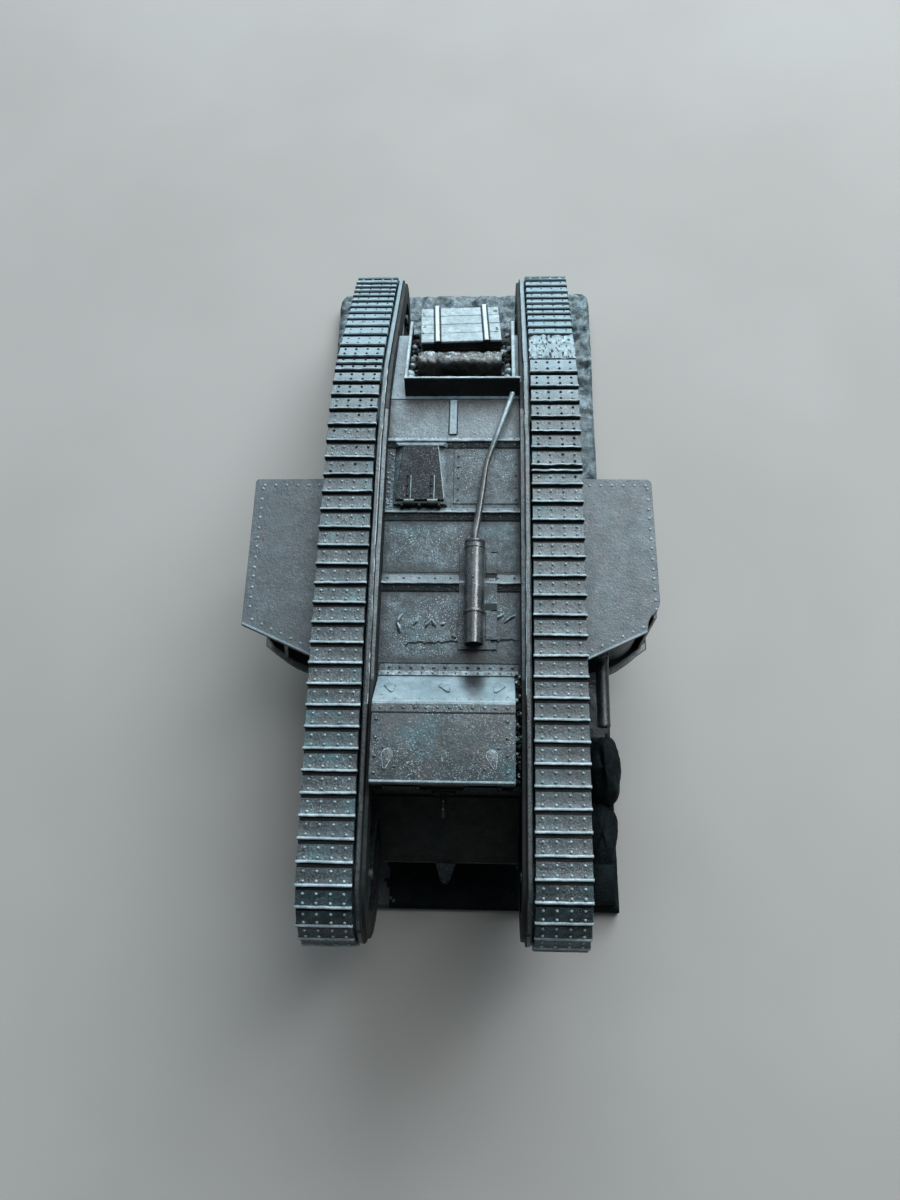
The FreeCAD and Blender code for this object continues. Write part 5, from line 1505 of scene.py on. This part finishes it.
def wheels():
    for name, sign in (("left", -1), ("right", 1)):
        hub_low = 22.5 if sign > 0 else -33.9
        for kind, back, up, rim in (("idler", 18.5, 47.5, 16.4), ("sprocket", 214.5, 18.5, 12.3)):
            wheel = Piece(kind + "_wheel_" + name, TUBE, PAINTED_SHADE)
            if kind == "idler":
                outline = circle(rim, 72)
            else:
                outline = []
                for tooth in range(TEETH):
                    for turn, radius in TOOTH:
                        outline.append(polar(radius, tau * (tooth + turn) / TEETH))
            centre = V(hub_low, back, up)
            for low in (2.2, 7.6):
                wheel_disc(wheel, centre + V(low, 0, 0), outline, rim * 0.6,
                           2.6 if kind == "idler" else 1.7)
            wheel.lathe(centre, RIGHT, [(0.0, 1.56), (0.0, 3.2), (0.2, 3.4), (11.2, 3.4),
                                        (11.4, 3.2), (11.4, 1.56), (0.0, 1.56)], 0, 36, False)
            wheel.finish(kind + "_" + name, body=kind + "_" + name, slot="gun_grey")


wheels()

# ---- ground base


def ridged(x, y, scale, seed):
    value = ripple(x * scale, y * scale, seed)
    return 1.0 - abs(value) * 2.0


def shaded_base_number(at, number):
    """The base's paint: painted shade between the horns and beside the gun, with a ragged border.
    """
    ragged = noise.noise(at * 0.25) + 0.5 * noise.noise(at * 0.8)
    between_horns = abs(at.x) < 20.5 + 3 * ragged and at.y < 48 + 14 * ragged
    beside_gun = at.x > 39.0 + 3 * ragged and at.y < 60 + 12 * ragged
    return 1 if between_horns or beside_gun else number


BELT_EDGE = 37.8
FRONT_Y, REAR_Y = 10.6, 237.9
LOW_X, WIDTH_IN_FRONT = -47.9, 99.0


def ground():
    """The sculpted slab: combed and smeared filler, higher and rougher at the tail."""
    base = Piece("ground_slab", MUD, LUMP_AND_SHADE)
    step = 0.9
    columns = round(WIDTH_IN_FRONT / step)
    rows = round((REAR_Y - FRONT_Y) / step)

    def surface(x, y):
        under = 22.0 < abs(x) < BELT_EDGE
        rough = 0.35 * ripple(x * 0.10, y * 0.10, 3) + 0.18 * ripple(x * 0.3, y * 0.3, 5)
        height = -0.55 + rough
        tail = max(0.0, min(1.0, (y - 193.0) / 12.0))
        if not under and tail > 0:
            coarse = 1.1 * ridged(x, y, 0.13, 1.0) + 0.9 * ridged(x + 30, y, 0.26, 9.0)
            height += tail * (coarse + 0.45 * ridged(x, y, 0.6, 4.0))
        if abs(x) >= BELT_EDGE:
            swell = 0.8 * max(0.0, ridged(x, y, 0.09, 6.0)) * min(1.0, (abs(x) - BELT_EDGE) / 2)
            height += swell + 0.5 * ridged(x, y, 0.25, 2.0)
        if under:
            height = min(height, -0.35)
        return height

    def edge_at(y):
        return 51.7 - 3.6 * (y - FRONT_Y) / (REAR_Y - FRONT_Y)

    def outline_x(x, y):
        corner = 5.0
        if y > REAR_Y - corner:
            cut = corner - sqrt(max(0.0, corner ** 2 - (y - (REAR_Y - corner)) ** 2))
            return max(LOW_X + cut, min(edge_at(y) - cut, x))
        return x

    rings = []
    for row in range(rows + 1):
        y = FRONT_Y + (REAR_Y - FRONT_Y) * row / rows
        ring = []
        for column in range(columns + 1):
            x = outline_x(LOW_X + (edge_at(y) - LOW_X) * column / columns, y)
            edge = min(x - LOW_X, edge_at(y) - x, y - FRONT_Y, REAR_Y - y)
            soft = 0.8 * max(0.0, 1 - edge / 1.2) ** 2
            ring.append(V(x, y, surface(x, y) - soft))
        under = [V(outline_x(edge_at(y), y), y, -3.99), V(outline_x(LOW_X, y), y, -3.99)]
        rings.append(ring + under)
    base.skin(rings)
    base.recolour(0, shaded_base_number)
    base.finish("display_base", slot="wet_ground", sharp=60)


def lumps():
    """Folded lumps of filler on the base, beside and in front of the gun."""
    pile = Piece("ground_lumps", LUMP_AND_SHADE)
    for x, y, rx, ry, top, seed in ((47.2, 54.0, 6.4, 11.0, 11.0, 1.0),
                                    (46.6, 34.0, 5.0, 11.5, 6.0, 2.0)):
        rings = []
        for k in range(26):
            tilt = pi / 2 * k / 25
            ring = []
            for j in range(56):
                angle = tau * j / 56
                wide = cos(tilt)
                fold = 1 + 0.20 * ripple(cos(angle) * 1.6, sin(angle) * 1.6, seed + tilt)
                fold += 0.10 * ridged(angle * 2, tilt * 3, 1.0, seed)
                up = top * sin(tilt) * (1 + 0.25 * ripple(cos(angle), sin(angle), seed * 3))
                ring.append(V(x + rx * wide * fold * cos(angle), y + ry * wide * fold * sin(angle),
                              -0.9 + min(up, 11.8)))
            rings.append(ring)
        pile.skin(rings)
    pile.prism([(42.8, 12.0), (50.6, 12.6), (50.9, 26.0), (42.6, 25.4)], -0.8, 4.6, plan, 0.6, 0,
               [(43.4, 12.8), (50.2, 13.4), (50.2, 25.0), (43.2, 24.6)])
    pile.finish(slot="wet_ground", sharp=50)


ground()
lumps()

# ---- the rest of the CAD pieces

for name, material in (("idler_axles", TUBE), ("sprocket_axles", TUBE), ("rollers", TUBE),
                       ("cross_spacers", PAINTED_SHADE)):
    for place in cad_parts[name].material_slots:
        place.material = material

# ---- floor


FLOOR_REACH = 3.0


def floor():
    s = Shade("floor")
    colour = s.mix(s.ramp(s.noise(9, 3), 0.3, 0.7), (0.315, 0.292, 0.273), (0.340, 0.317, 0.297))
    s.set(s.surface.inputs["Base Color"], colour)
    s.surface.inputs["Roughness"].default_value = 0.85
    s.surface.inputs["Specular IOR Level"].default_value = 0.2
    mesh = bpy.data.meshes.new("floor")
    reach = (-FLOOR_REACH, FLOOR_REACH)
    corners = [(x, y, 0) for x, y in rectangle(*reach, *reach)]
    mesh.from_pydata(corners, [], [(0, 1, 2, 3)])
    mesh.materials.append(s.material)
    item = bpy.data.objects.new("floor", mesh)
    bpy.context.scene.collection.objects.link(item)


floor()
